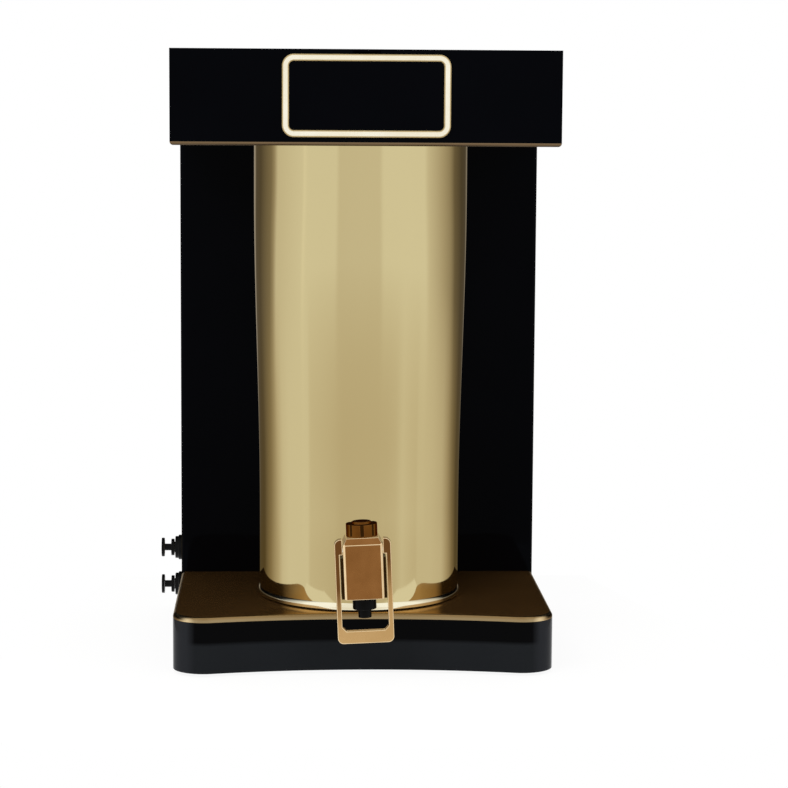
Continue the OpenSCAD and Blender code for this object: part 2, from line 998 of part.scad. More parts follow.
seat_in = 4;
seat_w = 14;
seat_out_r = tank_low_r - seat_in;
seat_in_r = seat_out_r - seat_w;

module tank_seat() {
  color(rubber_black)
    translate([tank_x, tank_y, deck_z])
      ring(seat_out_r, seat_in_r, tank_lift);
}

module tank_gasket() {
  color(white_plastic)
    translate([tank_x, tank_y, tank_top_z])
      ring(tank_top_r, tank_top_r - 2 * tank_wall, gasket_t);
}

module tank_lid() {
  inner_r = tank_top_r + fit;
  color(white_plastic)
    difference() {
      union() {
        translate([tank_x, tank_y, lid_z])
          cylinder(r = lid_r, h = lid_plate_t);
        translate([tank_x, tank_y, tank_top_z - lid_skirt_h])
          ring(lid_r, inner_r, lid_skirt_h + gasket_t);
        translate([fill_x, fill_y, lid_z])
          cylinder(r = nipple_r, h = lid_plate_t + fill_nipple_h);
      }
      translate([fill_x, fill_y, lid_z - past])
        cylinder(r = tube_bore_r, h = lid_plate_t + fill_nipple_h + 2 * past);
      translate([float_x, float_y, lid_z - past])
        cylinder(r = float_stem_r + run_fit, h = lid_plate_t + 2 * past);
    }
}

module float_stem() {
  color(white_plastic)
    translate([float_x, float_y, lid_z - float_stem_l]) {
      cylinder(r = 2 * float_stem_r, h = float_stop_h);
      cylinder(r = float_stem_r, h = float_stem_l + lid_plate_t);
      translate([0, 0, float_stem_l + lid_plate_t])
        cylinder(r = 2 * float_stem_r, h = float_stop_h);
    }
}

module float() {
  color(white_plastic)
    translate([float_x, float_y, float_z])
      ring(float_r, float_stem_r + fit, float_h);
}

// Tap

module in_tap_frame() {
  translate([tank_x, tank_y, tap_z])
    rotate([0, -tap_lean, 0])
      children();
}

module tap_body() {
  half = tap_w / 2;
  flat = half - tap_edge;
  color(rose_gold)
    in_tap_frame()
      difference() {
        intersection() {
          translate([0, body_y, body_low])
            linear_extrude(body_top - body_low)
              polygon([
                [flat, -half], [half, -flat], [half, flat], [flat, half],
                [-flat, half], [-half, flat], [-half, -flat], [-flat, -half]
              ]);
          translate([0, body_back, 0])
            rotate([90, 0, 0])
              linear_extrude(tap_w)
                tap_side_profile();
          translate([-half, body_y, 0])
            rotate([90, 0, 90])
              linear_extrude(tap_w)
                tap_side_profile();
        }
        translate([0, body_y, body_low - past])
          cylinder(r = outlet_r, h = seat_z - body_low + 2 * past);
        translate([0, body_y, body_low - past])
          cylinder(r = spigot_r + run_fit, h = nozzle_spigot_l + past);
        translate([0, body_y, seat_z])
          cylinder(r = wet_r, h = wet_top - seat_z);
        translate([0, body_y, wet_top - past])
          cylinder(r = stem_r + run_fit, h = dry_z - wet_top + 2 * past);
        translate([0, body_y, (wet_top + dry_z) / 2 - ring_r - run_fit])
          cylinder(r = stem_r + 2 * ring_r + 2 * run_fit, h = 2 * ring_r + 2 * run_fit);
        translate([0, body_y, dry_z])
          cylinder(r = dry_r, h = body_top - dry_z + past);
        rod_x(-tap_w, tap_w, pivot_y, pivot_z, pivot_r + run_fit);
        rod_y(body_back - spigot_l, body_back + past, 0, 0, spigot_r + run_fit);
        rod_y(body_y, body_back, 0, 0, outlet_r);
      }
}

// Side view of the tap's body, with its top bevels
module tap_side_profile() {
  half = tap_w / 2;
  top_half = half - tap_bevel_w;
  polygon([[-half, body_low], [half, body_low], [half, face_top], [top_half, body_top],
           [-top_half, body_top], [-half, face_top]]);
}

module tap_shank() {
  collar_y = -(tank_low_r + washer_t + shank_collar_l);
  end_y = -(tank_low_r - tank_wall - washer_t - nut_l - 2 * fit) + shank_collar_l / 2;
  color(rose_gold)
    in_tap_frame()
      difference() {
        union() {
          rod_y(body_back - spigot_l, body_back, 0, 0, spigot_r);
          rod_y(body_back, collar_y, 0, 0, shank_r + past);
          rod_y(collar_y, collar_y + shank_collar_l, 0, 0, shank_collar_r);
          rod_y(collar_y, end_y, 0, 0, shank_r);
        }
        rod_y(body_back - spigot_l - past, end_y + past, 0, 0, outlet_r);
      }
}

// The flat ring of a washer around the shank, from y1 to y2
module washer_ring(y1, y2) {
  in_tap_frame()
    difference() {
      rod_y(y1, y2, 0, 0, shank_collar_r + past);
      rod_y(y1 - past, y2 + past, 0, 0, shank_r + run_fit);
    }
}

module tap_outer_washer() {
  color(rubber_black)
    difference() {
      washer_ring(-tank_low_r - washer_t, -tank_low_r + 2 * past);
      translate([tank_x, tank_y, tank_z])
        cylinder(r = tank_low_r + run_fit, h = 2 * tap_up, $fn = 360);
    }
}

module tap_inner_washer() {
  color(rubber_black)
    intersection() {
      washer_ring(-tank_low_r, -tank_low_r + tank_wall + washer_t);
      translate([tank_x, tank_y, tank_z])
        cylinder(r = tank_low_r - tank_wall - run_fit, h = 2 * tap_up, $fn = 360);
    }
}

module tap_nut() {
  low_y = -tank_low_r + tank_wall + washer_t;
  color(steel)
    in_tap_frame()
      difference() {
        translate([0, low_y, 0])
          rotate([-90, 0, 0])
            cylinder(r = nut_across / sqrt(3), h = nut_l, $fn = 6);
        rod_y(low_y - past, low_y + nut_l + past, 0, 0, shank_r + run_fit);
      }
}

flute_r = 1.5;
bonnet_spigot_l = 2.5;

module tap_bonnet() {
  color(rose_gold)
    in_tap_frame()
      translate([0, body_y, body_top])
        difference() {
          union() {
            cylinder(r = bonnet_r, h = bonnet_h);
            translate([0, 0, bonnet_h])
              cylinder(r = disc_r, h = disc_h);
            translate([0, 0, -bonnet_spigot_l])
              cylinder(r = dry_r - run_fit, h = bonnet_spigot_l);
          }
          translate([0, 0, -bonnet_spigot_l - past])
            cylinder(r = cavity_r, h = cavity_top - body_top + bonnet_spigot_l + past);
          for (i = [0 : bonnet_flutes - 1])
            rotate(360 * i / bonnet_flutes)
              translate([bonnet_r, 0, past])
                cylinder(r = flute_r, h = bonnet_h);
        }
}

module tap_nozzle() {
  tip_z = body_low - nozzle_top_h - nozzle_tip_h;
  color(black_plastic)
    in_tap_frame()
      translate([0, body_y, 0])
        difference() {
          union() {
            translate([0, 0, tip_z])
              cylinder(r = nozzle_tip_r, h = nozzle_tip_h + past);
            translate([0, 0, body_low - nozzle_top_h])
              cylinder(r = nozzle_top_r, h = nozzle_top_h);
            translate([0, 0, body_low])
              cylinder(r = spigot_r, h = nozzle_spigot_l);
          }
          translate([0, 0, tip_z - past])
            cylinder(r = nozzle_bore_r, h = body_low + nozzle_spigot_l - tip_z + 2 * past);
        }
}

// Dark plates on both sides of the body, which fill the slots beside it and leave the bail's lugs free
plate_gap = 0.5;
plate_edge = 2;
plate_front_top = pivot_z - hub_r - lug_drop + past;
plate_rear_top = pivot_z + plate_edge;
plate_step = pivot_y + lug_drop + plate_edge;

module tap_side_plates() {
  front = body_y - tap_w / 2 + plate_edge;
  back = body_back - plate_edge;
  low = body_low + plate_gap;
  plate_t = bail_w / 2 - bail_arm - tap_w / 2 - plate_gap;
  color(black_plastic)
    in_tap_frame()
      both_sides()
        translate([tap_w / 2, 0, 0])
          rotate([90, 0, 90])
            linear_extrude(plate_t)
              polygon([[front, low], [back, low], [back, plate_rear_top], [plate_step, plate_rear_top],
                       [plate_step, plate_front_top], [front, plate_front_top]]);
}

// Front view of the bail
module bail_outline() {
  arm_x = bail_w / 2 - bail_arm;
  bar_z = bail_low + bail_bar;
  difference() {
    translate([0, bail_low + bail_h / 2])
      rounded_rect(bail_w, bail_h, bail_r);
    polygon([[-arm_x, lug_low], [-arm_x, bar_z + bail_inner], [-arm_x + bail_inner, bar_z],
             [arm_x - bail_inner, bar_z], [arm_x, bar_z + bail_inner], [arm_x, lug_low]]);
    translate([-tap_w / 2 - lug_gap, lug_low - past])
      square([tap_w + 2 * lug_gap, bail_top]);
  }
}

module tap_bail() {
  color(rose_gold)
    in_tap_frame()
      difference() {
        translate([0, pivot_y + bail_t / 2, 0])
          rotate([90, 0, 0])
            linear_extrude(bail_t)
              bail_outline();
        rod_x(-bail_w / 2 + pin_skin, bail_w / 2 - pin_skin, pivot_y, pivot_z, pivot_r + run_fit / 2);
      }
}

module tap_lever() {
  prong_l = lever_arm + prong_past;
  color(steel)
    in_tap_frame()
      difference() {
        union() {
          rod_x(-bail_w / 2 + pin_skin + run_fit, bail_w / 2 - pin_skin - run_fit, pivot_y, pivot_z, pivot_r);
          rod_x(-hub_half, hub_half, pivot_y, pivot_z, hub_r);
          block([-hub_half, pivot_y, prong_top - prong_t], [hub_half, pivot_y + prong_l, prong_top]);
        }
        block([-stem_r - fit, pivot_y + hub_r, prong_top - prong_t - past],
              [stem_r + fit, pivot_y + prong_l + past, prong_top + past]);
      }
}

module valve_stem() {
  low = seal_z + seal_h;
  color(steel)
    in_tap_frame()
      translate([0, body_y, 0]) {
        translate([0, 0, low])
          cylinder(r = stem_r, h = stem_top - low);
        translate([0, 0, collar_z])
          cylinder(r = collar_r, h = collar_h);
      }
}

module valve_seal() {
  color(rubber_black)
    in_tap_frame()
      translate([0, body_y, seal_z])
        cylinder(r = seal_r, h = seal_h);
}

module stem_ring() {
  color(rubber_black)
    in_tap_frame()
      translate([0, body_y, (wet_top + dry_z) / 2])
        rotate_extrude()
          translate([stem_r + ring_r + run_fit, 0])
            circle(ring_r, $fn = 32);
}

// Wound spring: one tube swept along a helix
spring_low = collar_z + collar_h;
spring_high = cavity_top;
spring_rings = 8;
spring_sides = 6;
spring_pitch = (spring_high - spring_low - 2 * spring_wire_r) / spring_turns;
spring_gap = spring_pitch - 2 * spring_wire_r;
echo(least_gap_between_spring_turns = spring_gap);

// Point j of ring i of the spring's tube
function spring_point(i, j) =
  let (turn = 360 * i / spring_rings)
  let (side = 360 * j / spring_sides)
  let (r = spring_r + spring_wire_r * cos(side))
  let (rise = spring_wire_r + spring_pitch * i / spring_rings)
  [r * cos(turn), r * sin(turn), spring_low + rise + spring_wire_r * sin(side)];

module valve_spring() {
  rings = spring_turns * spring_rings;
  n = spring_sides;
  color(steel)
    in_tap_frame()
      translate([0, body_y, 0])
        polyhedron(
          points = [for (i = [0 : rings], j = [0 : n - 1]) spring_point(i, j)],
          faces = concat(
            [for (j = [1 : n - 2]) [0, j, j + 1]],
            [for (j = [1 : n - 2]) [rings * n, rings * n + j + 1, rings * n + j]],
            [for (i = [0 : rings - 1], j = [0 : n - 1])
              [i * n + j, (i + 1) * n + j, (i + 1) * n + (j + 1) % n]],
            [for (i = [0 : rings - 1], j = [0 : n - 1])
              [i * n + j, (i + 1) * n + (j + 1) % n, i * n + (j + 1) % n]]));
}

// Side fittings: in each one's frame the origin is on the cabinet's side and +Z points outwards

module at_port(z) {
  translate([-half_w, pipe_y, z])
    rotate([0, -90, 0])
      children();
}

module port_union(z) {
  color(black_plastic)
    at_port(z)
      difference() {
        union() {
          cylinder(r = port_flange_r, h = port_flange_t);
          translate([0, 0, port_flange_t])
            cylinder(r = port_body_r, h = port_body_l);
          translate([0, 0, -port_inner_l])
            cylinder(r = port_thread_r, h = port_inner_l);
        }
        translate([0, 0, collet_bore_z])
          cylinder(r = collet_sleeve_r + run_fit, h = port_end - collet_bore_z + past);
        translate([0, 0, tube_stop_z])
          cylinder(r = tube_r + fit, h = -tube_stop_z);
        translate([0, 0, -port_inner_l - past])
          cylinder(r = waterway_r, h = port_inner_l);
      }
}

module port_locknut(z) {
  color(black_plastic)
    at_port(z)
      translate([0, 0, -sheet - locknut_l])
        difference() {
          cylinder(r = locknut_across / sqrt(3), h = locknut_l, $fn = 6);
          translate([0, 0, -past])
            cylinder(r = port_thread_r + run_fit, h = locknut_l + 2 * past);
        }
}

module port_collet(z) {
  sleeve_z = collet_bore_z + collet_travel + fit;
  color(black_plastic)
    at_port(z)
      difference() {
        union() {
          translate([0, 0, collet_z])
            cylinder(r = collet_r, h = collet_t);
          translate([0, 0, sleeve_z])
            cylinder(r = collet_sleeve_r, h = collet_z - sleeve_z);
        }
        translate([0, 0, sleeve_z - past])
          cylinder(r = tube_r + run_fit, h = collet_end - sleeve_z + 2 * past);
      }
}

module port_plug(z) {
  stem_z = tube_stop_z + fit;
  color(black_plastic)
    at_port(z) {
      translate([0, 0, stem_z])
        cylinder(r = tube_r, h = plug_z - stem_z);
      translate([0, 0, plug_z])
        cylinder(r = plug_r, h = plug_t);
    }
}

module inlet_union() {
  port_union(inlet_z);
}

module inlet_locknut() {
  port_locknut(inlet_z);
}

module inlet_collet() {
  port_collet(inlet_z);
}

module inlet_plug() {
  port_plug(inlet_z);
}

module drain_union() {
  port_union(drain_z);
}

module drain_locknut() {
  port_locknut(drain_z);
}

module drain_collet() {
  port_collet(drain_z);
}

module drain_plug() {
  port_plug(drain_z);
}

// Water path

module cartridge(x, r) {
  translate([x, pipe_y, cartridge_z]) {
    cylinder(r = r, h = cartridge_h);
    translate([0, 0, -nipple_h])
      cylinder(r = nipple_r, h = cartridge_h + 2 * nipple_h);
  }
}

module sediment_cartridge() {
  color(white_plastic)
    cartridge(sediment_x, cartridge_r);
}

module carbon_cartridge() {
  color(white_plastic)
    cartridge(carbon_x, cartridge_r);
}

module mineral_cartridge() {
  color(white_plastic)
    cartridge(mineral_x, cartridge_r);
}

membrane_cap_h = 30;

module membrane_housing() {
  color(white_plastic) {
    cartridge(membrane_x, membrane_r);
    for (up = [0, cartridge_h - membrane_cap_h])
      translate([membrane_x, pipe_y, cartridge_z + up])
        cylinder(r = membrane_cap_r, h = membrane_cap_h);
    translate([membrane_x, pipe_y + drain_offset, cartridge_z + cartridge_h])
      cylinder(r = port_r, h = nipple_h);
  }
}

module booster_pump() {
  head_end = pump_x + pump_head_l;
  color(black_plastic) {
    rod_x(pump_x, head_end, pipe_y, pump_z, pump_head_r);
    rod_x(head_end, head_end + motor_l, pipe_y, pump_z, motor_r);
    rod_x(pump_in_x, pump_x, pipe_y, valve_z, port_r);
    translate([pump_out_x, pipe_y, pump_z])
      cylinder(r = port_r, h = pump_head_r + port_l);
  }
}

bracket_half = rounded(motor_r * 10 / 13);
bracket_end = 4;

module pump_bracket() {
  start = pump_x + pump_head_l + bracket_end;
  end = start + motor_l - 2 * bracket_end;
  color(rubber_black)
    difference() {
      block([start, pipe_y - bracket_half, floor_z], [end, pipe_y + bracket_half, pump_z]);
      rod_x(start - past, end + past, pipe_y, pump_z, motor_r + fit);
    }
}

module solenoid_valve() {
  color(white_plastic) {
    block([valve_x - valve_half, pipe_y - valve_half, valve_z - valve_half],
          [valve_x + valve_half, pipe_y + valve_half, valve_z + valve_half]);
    rod_x(valve_x - valve_half - port_l, valve_end_x, pipe_y, valve_z, port_r);
    translate([valve_x, pipe_y, valve_z + valve_half])
      cylinder(r = coil_r, h = coil_h);
    block([valve_x - valve_half / 2, chassis_back, valve_z - valve_half / 2],
          [valve_x + valve_half / 2, pipe_y - valve_half, valve_z + valve_half / 2]);
  }
}

module flow_restrictor() {
  color(white_plastic)
    rod_x(restrictor_x, restrictor_x + restrictor_l, return_y, drain_z, restrictor_r);
}

supply_in = 67.5;
supply_x = -half_w + supply_in;

module power_supply() {
  color(black_plastic)
    block([supply_x, chassis_back + fit, floor_z],
          [supply_x + supply_l, chassis_back + fit + supply_d, floor_z + supply_h]);
}

saddle_w = 16;
saddle_in = 40;
saddle_x = uv_l / 2 - saddle_in;

module uv_chamber() {
  inner_r = uv_r - uv_wall;
  color(steel)
    difference() {
      union() {
        rod_x(-uv_l / 2, uv_l / 2, pipe_y, uv_z, uv_r);
        for (x = [-uv_l / 2, uv_l / 2 - uv_cap_l])
          rod_x(x, x + uv_cap_l, pipe_y, uv_z, uv_cap_r);
        rod_y(uv_port_y, pipe_y, uv_out_x, uv_z, port_r);
        translate([mineral_x, pipe_y, uv_port_z])
          cylinder(r = port_r, h = uv_z - uv_port_z);
        for (s = [-1, 1])
          block([s * saddle_x - saddle_w / 2, pipe_y - saddle_w, shell_z],
                [s * saddle_x + saddle_w / 2, pipe_y + saddle_w, uv_z]);
      }
      rod_x(-uv_l / 2 + uv_cap_l, uv_l / 2 - uv_cap_l, pipe_y, uv_z, inner_r);
      rod_x(-uv_l / 2 - past, uv_l / 2 + past, pipe_y, uv_z, lamp_r + run_fit);
      rod_y(uv_port_y - past, pipe_y, uv_out_x, uv_z, tube_bore_r);
      translate([mineral_x, pipe_y, uv_port_z - past])
        cylinder(r = tube_bore_r, h = uv_z - uv_port_z);
    }
}

module uv_lamp() {
  color(white_plastic)
    rod_x(-uv_l / 2 - lamp_r, uv_l / 2 + lamp_r, pipe_y, uv_z, lamp_r);
}

// Unit direction from point a to point b
function way(a, b) = (b - a) / norm(b - a);

// A straight length of tubing from point a to point b, along an axis
module straight_tube(a, b) {
  d = way(a, b);
  translate(a)
    rotate([0, d[2] > 0.5 ? 0 : d[2] < -0.5 ? 180 : 90, d[0] < -0.5 ? 180 : 90 * round(d[1])])
      ring(tube_r, tube_bore_r, norm(b - a));
}

// A quarter bend at point p that turns the tubing from direction u into direction v
module tube_bend(p, u, v) {
  n = cross(u, v);
  c = p + bend_r * (v - u);
  multmatrix([
    [-v[0], u[0], n[0], c[0]],
    [-v[1], u[1], n[1], c[1]],
    [-v[2], u[2], n[2], c[2]],
    [0, 0, 0, 1]
  ])
    rotate_extrude(angle = 90)
      translate([bend_r, 0])
        difference() {
          circle(tube_r);
          circle(tube_bore_r);
        }
}

// One plastic tube along a route of points that turns by right angles
module water_tube(points) {
  last = len(points) - 1;
  for (i = [0 : last - 1]) {
    d = way(points[i], points[i + 1]);
    straight_tube(points[i] + (i > 0 ? bend_r : 0) * d, points[i + 1] - (i < last - 1 ? bend_r : 0) * d);
    if (i < last - 1)
      tube_bend(points[i + 1], d, way(points[i + 1], points[i + 2]));
  }
}

module water_tubes() {
  restrictor_end = restrictor_x + restrictor_l;
  mineral_turn_z = nipple_low - 1.5 * bend_r;
  drain_port_y = pipe_y + drain_offset;
  color(white_plastic) {
    water_tube([[port_inner_x, pipe_y, inlet_z], [sediment_x, pipe_y, inlet_z],
                [sediment_x, pipe_y, nipple_low]]);
    for (pair = [[sediment_x, carbon_x], [membrane_x, mineral_x]])
      water_tube([[pair[0], pipe_y, nipple_high], [pair[0], pipe_y, bridge_z],
                  [pair[1], pipe_y, bridge_z], [pair[1], pipe_y, nipple_high]]);
    water_tube([[carbon_x, pipe_y, nipple_low], [carbon_x, pipe_y, valve_z],
                [valve_x - valve_half - port_l, pipe_y, valve_z]]);
    water_tube([[valve_end_x, pipe_y, valve_z], [pump_in_x, pipe_y, valve_z]]);
    water_tube([[pump_out_x, pipe_y, pump_z + pump_head_r + port_l], [pump_out_x, pipe_y, pump_bridge_z],
                [membrane_x, pipe_y, pump_bridge_z], [membrane_x, pipe_y, nipple_low]]);
    water_tube([[mineral_x, pipe_y, nipple_low], [mineral_x, pipe_y, mineral_turn_z],
                [mineral_x, return_y, mineral_turn_z], [mineral_x, return_y, uv_bridge_z],
                [mineral_x, pipe_y, uv_bridge_z], [mineral_x, pipe_y, uv_port_z]]);
    water_tube([[uv_out_x, uv_port_y, uv_z], [uv_out_x, fill_y, uv_z],
                [uv_out_x, fill_y, lid_top_z + fill_nipple_h]]);
    water_tube([[port_inner_x, pipe_y, drain_z], [drain_turn_x, pipe_y, drain_z],
                [drain_turn_x, return_y, drain_z], [restrictor_x, return_y, drain_z]]);
    water_tube([[restrictor_end, return_y, drain_z], [membrane_x, return_y, drain_z],
                [membrane_x, return_y, bridge_z], [membrane_x, drain_port_y, bridge_z],
                [membrane_x, drain_port_y, nipple_high]]);
  }
}

base_shell();
base_deck();
base_floor();
cabinet_floor();
feet();
case_screws();
cabinet_shell();
back_cover();
back_cover_screws();
cord_grommet();
chassis_plate();
cartridge_clips();
head_floor();
head_shell();
head_lid();
lid_hinge_pins();
badge_frame();
badge_plate();
control_board();
tank_shell();
tank_foot_ring();
tank_seat();
tank_lid();
tank_gasket();
float_stem();
float();
tap_body();
tap_shank();
tap_outer_washer();
tap_inner_washer();
tap_nut();
tap_bonnet();
tap_nozzle();
tap_side_plates();
tap_bail();
tap_lever();
valve_stem();
valve_seal();
stem_ring();
valve_spring();
inlet_union();
inlet_locknut();
inlet_collet();
inlet_plug();
drain_union();
drain_locknut();
drain_collet();
drain_plug();
sediment_cartridge();
carbon_cartridge();
membrane_housing();
mineral_cartridge();
booster_pump();
pump_bracket();
solenoid_valve();
flow_restrictor();
power_supply();
uv_chamber();
uv_lamp();
water_tubes();
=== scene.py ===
import json
import math
from collections import namedtuple

import bmesh
import bpy
from mathutils import Matrix, Vector

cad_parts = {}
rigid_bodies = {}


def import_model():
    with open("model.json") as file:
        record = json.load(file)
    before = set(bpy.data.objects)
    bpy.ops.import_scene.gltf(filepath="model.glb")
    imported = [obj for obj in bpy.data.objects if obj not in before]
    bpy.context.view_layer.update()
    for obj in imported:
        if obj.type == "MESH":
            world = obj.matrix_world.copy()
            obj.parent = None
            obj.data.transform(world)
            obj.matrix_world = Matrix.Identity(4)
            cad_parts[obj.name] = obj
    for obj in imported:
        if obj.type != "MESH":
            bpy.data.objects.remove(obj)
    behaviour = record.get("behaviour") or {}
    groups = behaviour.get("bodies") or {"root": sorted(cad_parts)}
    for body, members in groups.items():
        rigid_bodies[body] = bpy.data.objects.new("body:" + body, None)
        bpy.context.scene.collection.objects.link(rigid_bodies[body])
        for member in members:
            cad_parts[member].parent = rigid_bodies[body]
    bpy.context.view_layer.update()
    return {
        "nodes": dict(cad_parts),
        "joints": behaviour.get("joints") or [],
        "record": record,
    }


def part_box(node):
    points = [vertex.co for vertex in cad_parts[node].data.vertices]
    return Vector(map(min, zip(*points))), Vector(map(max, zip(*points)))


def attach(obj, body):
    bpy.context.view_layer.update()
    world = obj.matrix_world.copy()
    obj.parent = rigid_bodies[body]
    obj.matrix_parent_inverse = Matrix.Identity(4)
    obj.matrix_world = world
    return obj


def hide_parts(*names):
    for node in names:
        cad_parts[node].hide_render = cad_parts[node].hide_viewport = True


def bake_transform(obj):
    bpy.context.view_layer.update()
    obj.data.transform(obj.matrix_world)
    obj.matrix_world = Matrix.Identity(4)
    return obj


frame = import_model()
nodes = frame["nodes"]
joints = {joint["name"]: joint for joint in frame["joints"]}
MM = 0.001
UP = (0.0, 0.0, 1.0)
DOWN = (0.0, 0.0, -1.0)

# Sizes that the solids don't give directly, in millimetres
BASE_CORNER_R = 27.0
FRONT_HOLLOW_R = 585.0
BASE_REACH = 190.0
RIM_R = 4.5
TANK_LOW_R = 87.6
TANK_TOP_R = 92.7
TANK_WALL = 1.5
TANK_MIDDLE_R = 0.5
FLARE_UP = 80.0
FLARE_H = 270.0
BEAD_R = 5.0
BEAD_UP = 0.8
BEAD_DROP = 1.2
FLUTE_EDGE = 0.45
FLUTE_FLOOR = 2.5

# Points closer than this, in millimetres, are one point
MERGE_GAP = 0.002

# Steps of round shapes
LATHE_STEPS = 160
TANK_STEPS = 60
BEAD_STEPS = 14
CORNER_STEPS = 24
HOLLOW_STEPS = 60
RIM_STEPS = 8
EDGE_STEPS = 3

# Faces that meet at less than this angle, in degrees, shade as one surface
SMOOTH_DEG = 35.0
DECK_SMOOTH_DEG = 50.0
SPRING_SMOOTH_DEG = 70.0
# Faces that meet at less than this angle are one flat face
FLAT_DEG = 0.5
# Edges sharper than this angle are rounded, and shallower ones too on the nodes listed
EDGE_DEG = 30.0
SHALLOW_EDGES = {"tap_body": 20.0}

# Parts of a face's direction by which it is picked out
DECK_TOP_UP = 0.95
BEVEL_SIDEWAYS = (0.5, 0.87)
BEVEL_FORWARD = 0.4
FLUTE_UP = 0.3
BONNET_TOP_UP = 0.8

# Planes of the frame, in metres
cabinet_low, cabinet_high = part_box("cabinet_shell")
deck_low, deck_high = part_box("base_deck")
tank_low, tank_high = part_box("tank_shell")
floor_low, floor_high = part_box("head_floor")
HALF_W = cabinet_high.x
CAB_FRONT = cabinet_low.y
DECK_Z = deck_high.z
TANK_X = (tank_low.x + tank_high.x) / 2
TANK_Y = (tank_low.y + tank_high.y) / 2


# Shader nodes

def shader(name):
    """A new node material, with its tree and its main shader."""
    mat = bpy.data.materials.new(name)
    mat.use_nodes = True
    tree = mat.node_tree
    return mat, tree, tree.nodes["Principled BSDF"]


def put(tree, value, socket):
    """A constant, or another node's output, into a socket."""
    if isinstance(value, bpy.types.NodeSocket):
        tree.links.new(value, socket)
    else:
        socket.default_value = value


def calculated(tree, operation, *values):
    """The result of an operation on numbers."""
    node = tree.nodes.new("ShaderNodeMath")
    node.operation = operation
    for value, socket in zip(values, node.inputs):
        put(tree, value, socket)
    return node.outputs["Value"]


def dot(tree, first, second):
    """How far one direction goes along another."""
    node = tree.nodes.new("ShaderNodeVectorMath")
    node.operation = "DOT_PRODUCT"
    put(tree, first, node.inputs[0])
    put(tree, second, node.inputs[1])
    return node.outputs["Value"]


def spread(tree, value, span, ends=(0.0, 1.0)):
    """A value that runs over a span turned into one that runs between two ends."""
    node = tree.nodes.new("ShaderNodeMapRange")
    node.inputs["From Min"].default_value, node.inputs["From Max"].default_value = span
    node.inputs["To Min"].default_value, node.inputs["To Max"].default_value = ends
    tree.links.new(value, node.inputs["Value"])
    return node.outputs["Result"]


def mixed(tree, share, colour, other):
    """A colour that turns into another one with a share."""
    mix = tree.nodes.new("ShaderNodeMix")
    mix.data_type = "RGBA"
    tree.links.new(share, mix.inputs["Factor"])
    tree.links.new(colour, mix.inputs["A"])
    put(tree, other, mix.inputs["B"])
    return mix.outputs["Result"]


def shader_mix(tree, share, first, second):
    """A shader that turns into another one with a share."""
    mix = tree.nodes.new("ShaderNodeMixShader")
    tree.links.new(share, mix.inputs["Fac"])
    tree.links.new(first, mix.inputs[1])
    tree.links.new(second, mix.inputs[2])
    return mix.outputs["Shader"]


# Range that most of a noise lies in
NOISE_SPAN = (0.3, 0.7)


def noise(tree, scale, detail, stretch=(1.0, 1.0, 1.0)):
    """Noise in the piece's own coordinates, drawn out along its axes by stretch."""
    place = tree.nodes.new("ShaderNodeTexCoord")
    mapping = tree.nodes.new("ShaderNodeMapping")
    mapping.inputs["Scale"].default_value = stretch
    texture = tree.nodes.new("ShaderNodeTexNoise")
    texture.inputs["Scale"].default_value = scale
    texture.inputs["Detail"].default_value = detail
    tree.links.new(place.outputs["Object"], mapping.inputs["Vector"])
    tree.links.new(mapping.outputs["Vector"], texture.inputs["Vector"])
    return texture.outputs["Fac"]


def two_tone(tree, value, dark, light):
    """A colour that runs from dark to light with a noise."""
    ramp = tree.nodes.new("ShaderNodeValToRGB")
    for stop, place, colour in zip(ramp.color_ramp.elements, NOISE_SPAN, (dark, light)):
        stop.position = place
        stop.color = (*colour, 1.0)
    tree.links.new(value, ramp.inputs["Fac"])
    return ramp.outputs["Color"]


def bump(tree, height, strength, distance):
    """A normal from a height."""
    node = tree.nodes.new("ShaderNodeBump")
    node.inputs["Strength"].default_value = strength
    node.inputs["Distance"].default_value = distance
    tree.links.new(height, node.inputs["Height"])
    return node.outputs["Normal"]


# Finishes

# A change of colour along a direction of the piece, over a span in metres, which paints light and shade along
# it
Fade = namedtuple("Fade", "colour way span")
# A change of colour where the surface turns to the sides, over a span of that turn, which paints a reflection
# on the sides
Turn = namedtuple("Turn", "colour span")

# Detail of a finish's noises, and how much finer its patches of roughness are than those of colour
PATCH_DETAIL = 5.0
ROUGH_DETAIL = 6.0
GRAIN_DETAIL = 3.0
ROUGH_FINER = 2.3

# Width of a painted edge highlight in millimetres, its samples, and how far its direction agrees with its
# face's
EDGE_HIGHLIGHT_W = 0.8
EDGE_HIGHLIGHT_SAMPLES = 6
EDGE_HIGHLIGHT_SPAN = (0.80, 0.985)


def highlit_edges(tree, colour, highlight_colour):
    """A colour with a painted highlight in a second colour along the edges."""
    geometry = tree.nodes.new("ShaderNodeNewGeometry")
    rounding = tree.nodes.new("ShaderNodeBevel")
    rounding.samples = EDGE_HIGHLIGHT_SAMPLES
    rounding.inputs["Radius"].default_value = EDGE_HIGHLIGHT_W * MM
    facing = dot(tree, geometry.outputs["True Normal"], rounding.outputs["Normal"])
    return mixed(tree, spread(tree, facing, EDGE_HIGHLIGHT_SPAN, (1.0, 0.0)), colour, (*highlight_colour, 1.0))


def faded(tree, colour, fade):
    """A colour that changes along a direction of the piece, as painted light and shade."""
    place = tree.nodes.new("ShaderNodeTexCoord")
    along = dot(tree, place.outputs["Object"], fade.way)
    return mixed(tree, spread(tree, along, fade.span), colour, (*fade.colour, 1.0))


def turned(tree, colour, turn):
    """A colour that changes where the surface turns from the front to the sides, as a painted reflection
    there.
    """
    geometry = tree.nodes.new("ShaderNodeNewGeometry")
    split = tree.nodes.new("ShaderNodeSeparateXYZ")
    tree.links.new(geometry.outputs["Normal"], split.inputs["Vector"])
    sideways = calculated(tree, "ABSOLUTE", split.outputs["X"])
    return mixed(tree, spread(tree, sideways, turn.span), colour, (*turn.colour, 1.0))


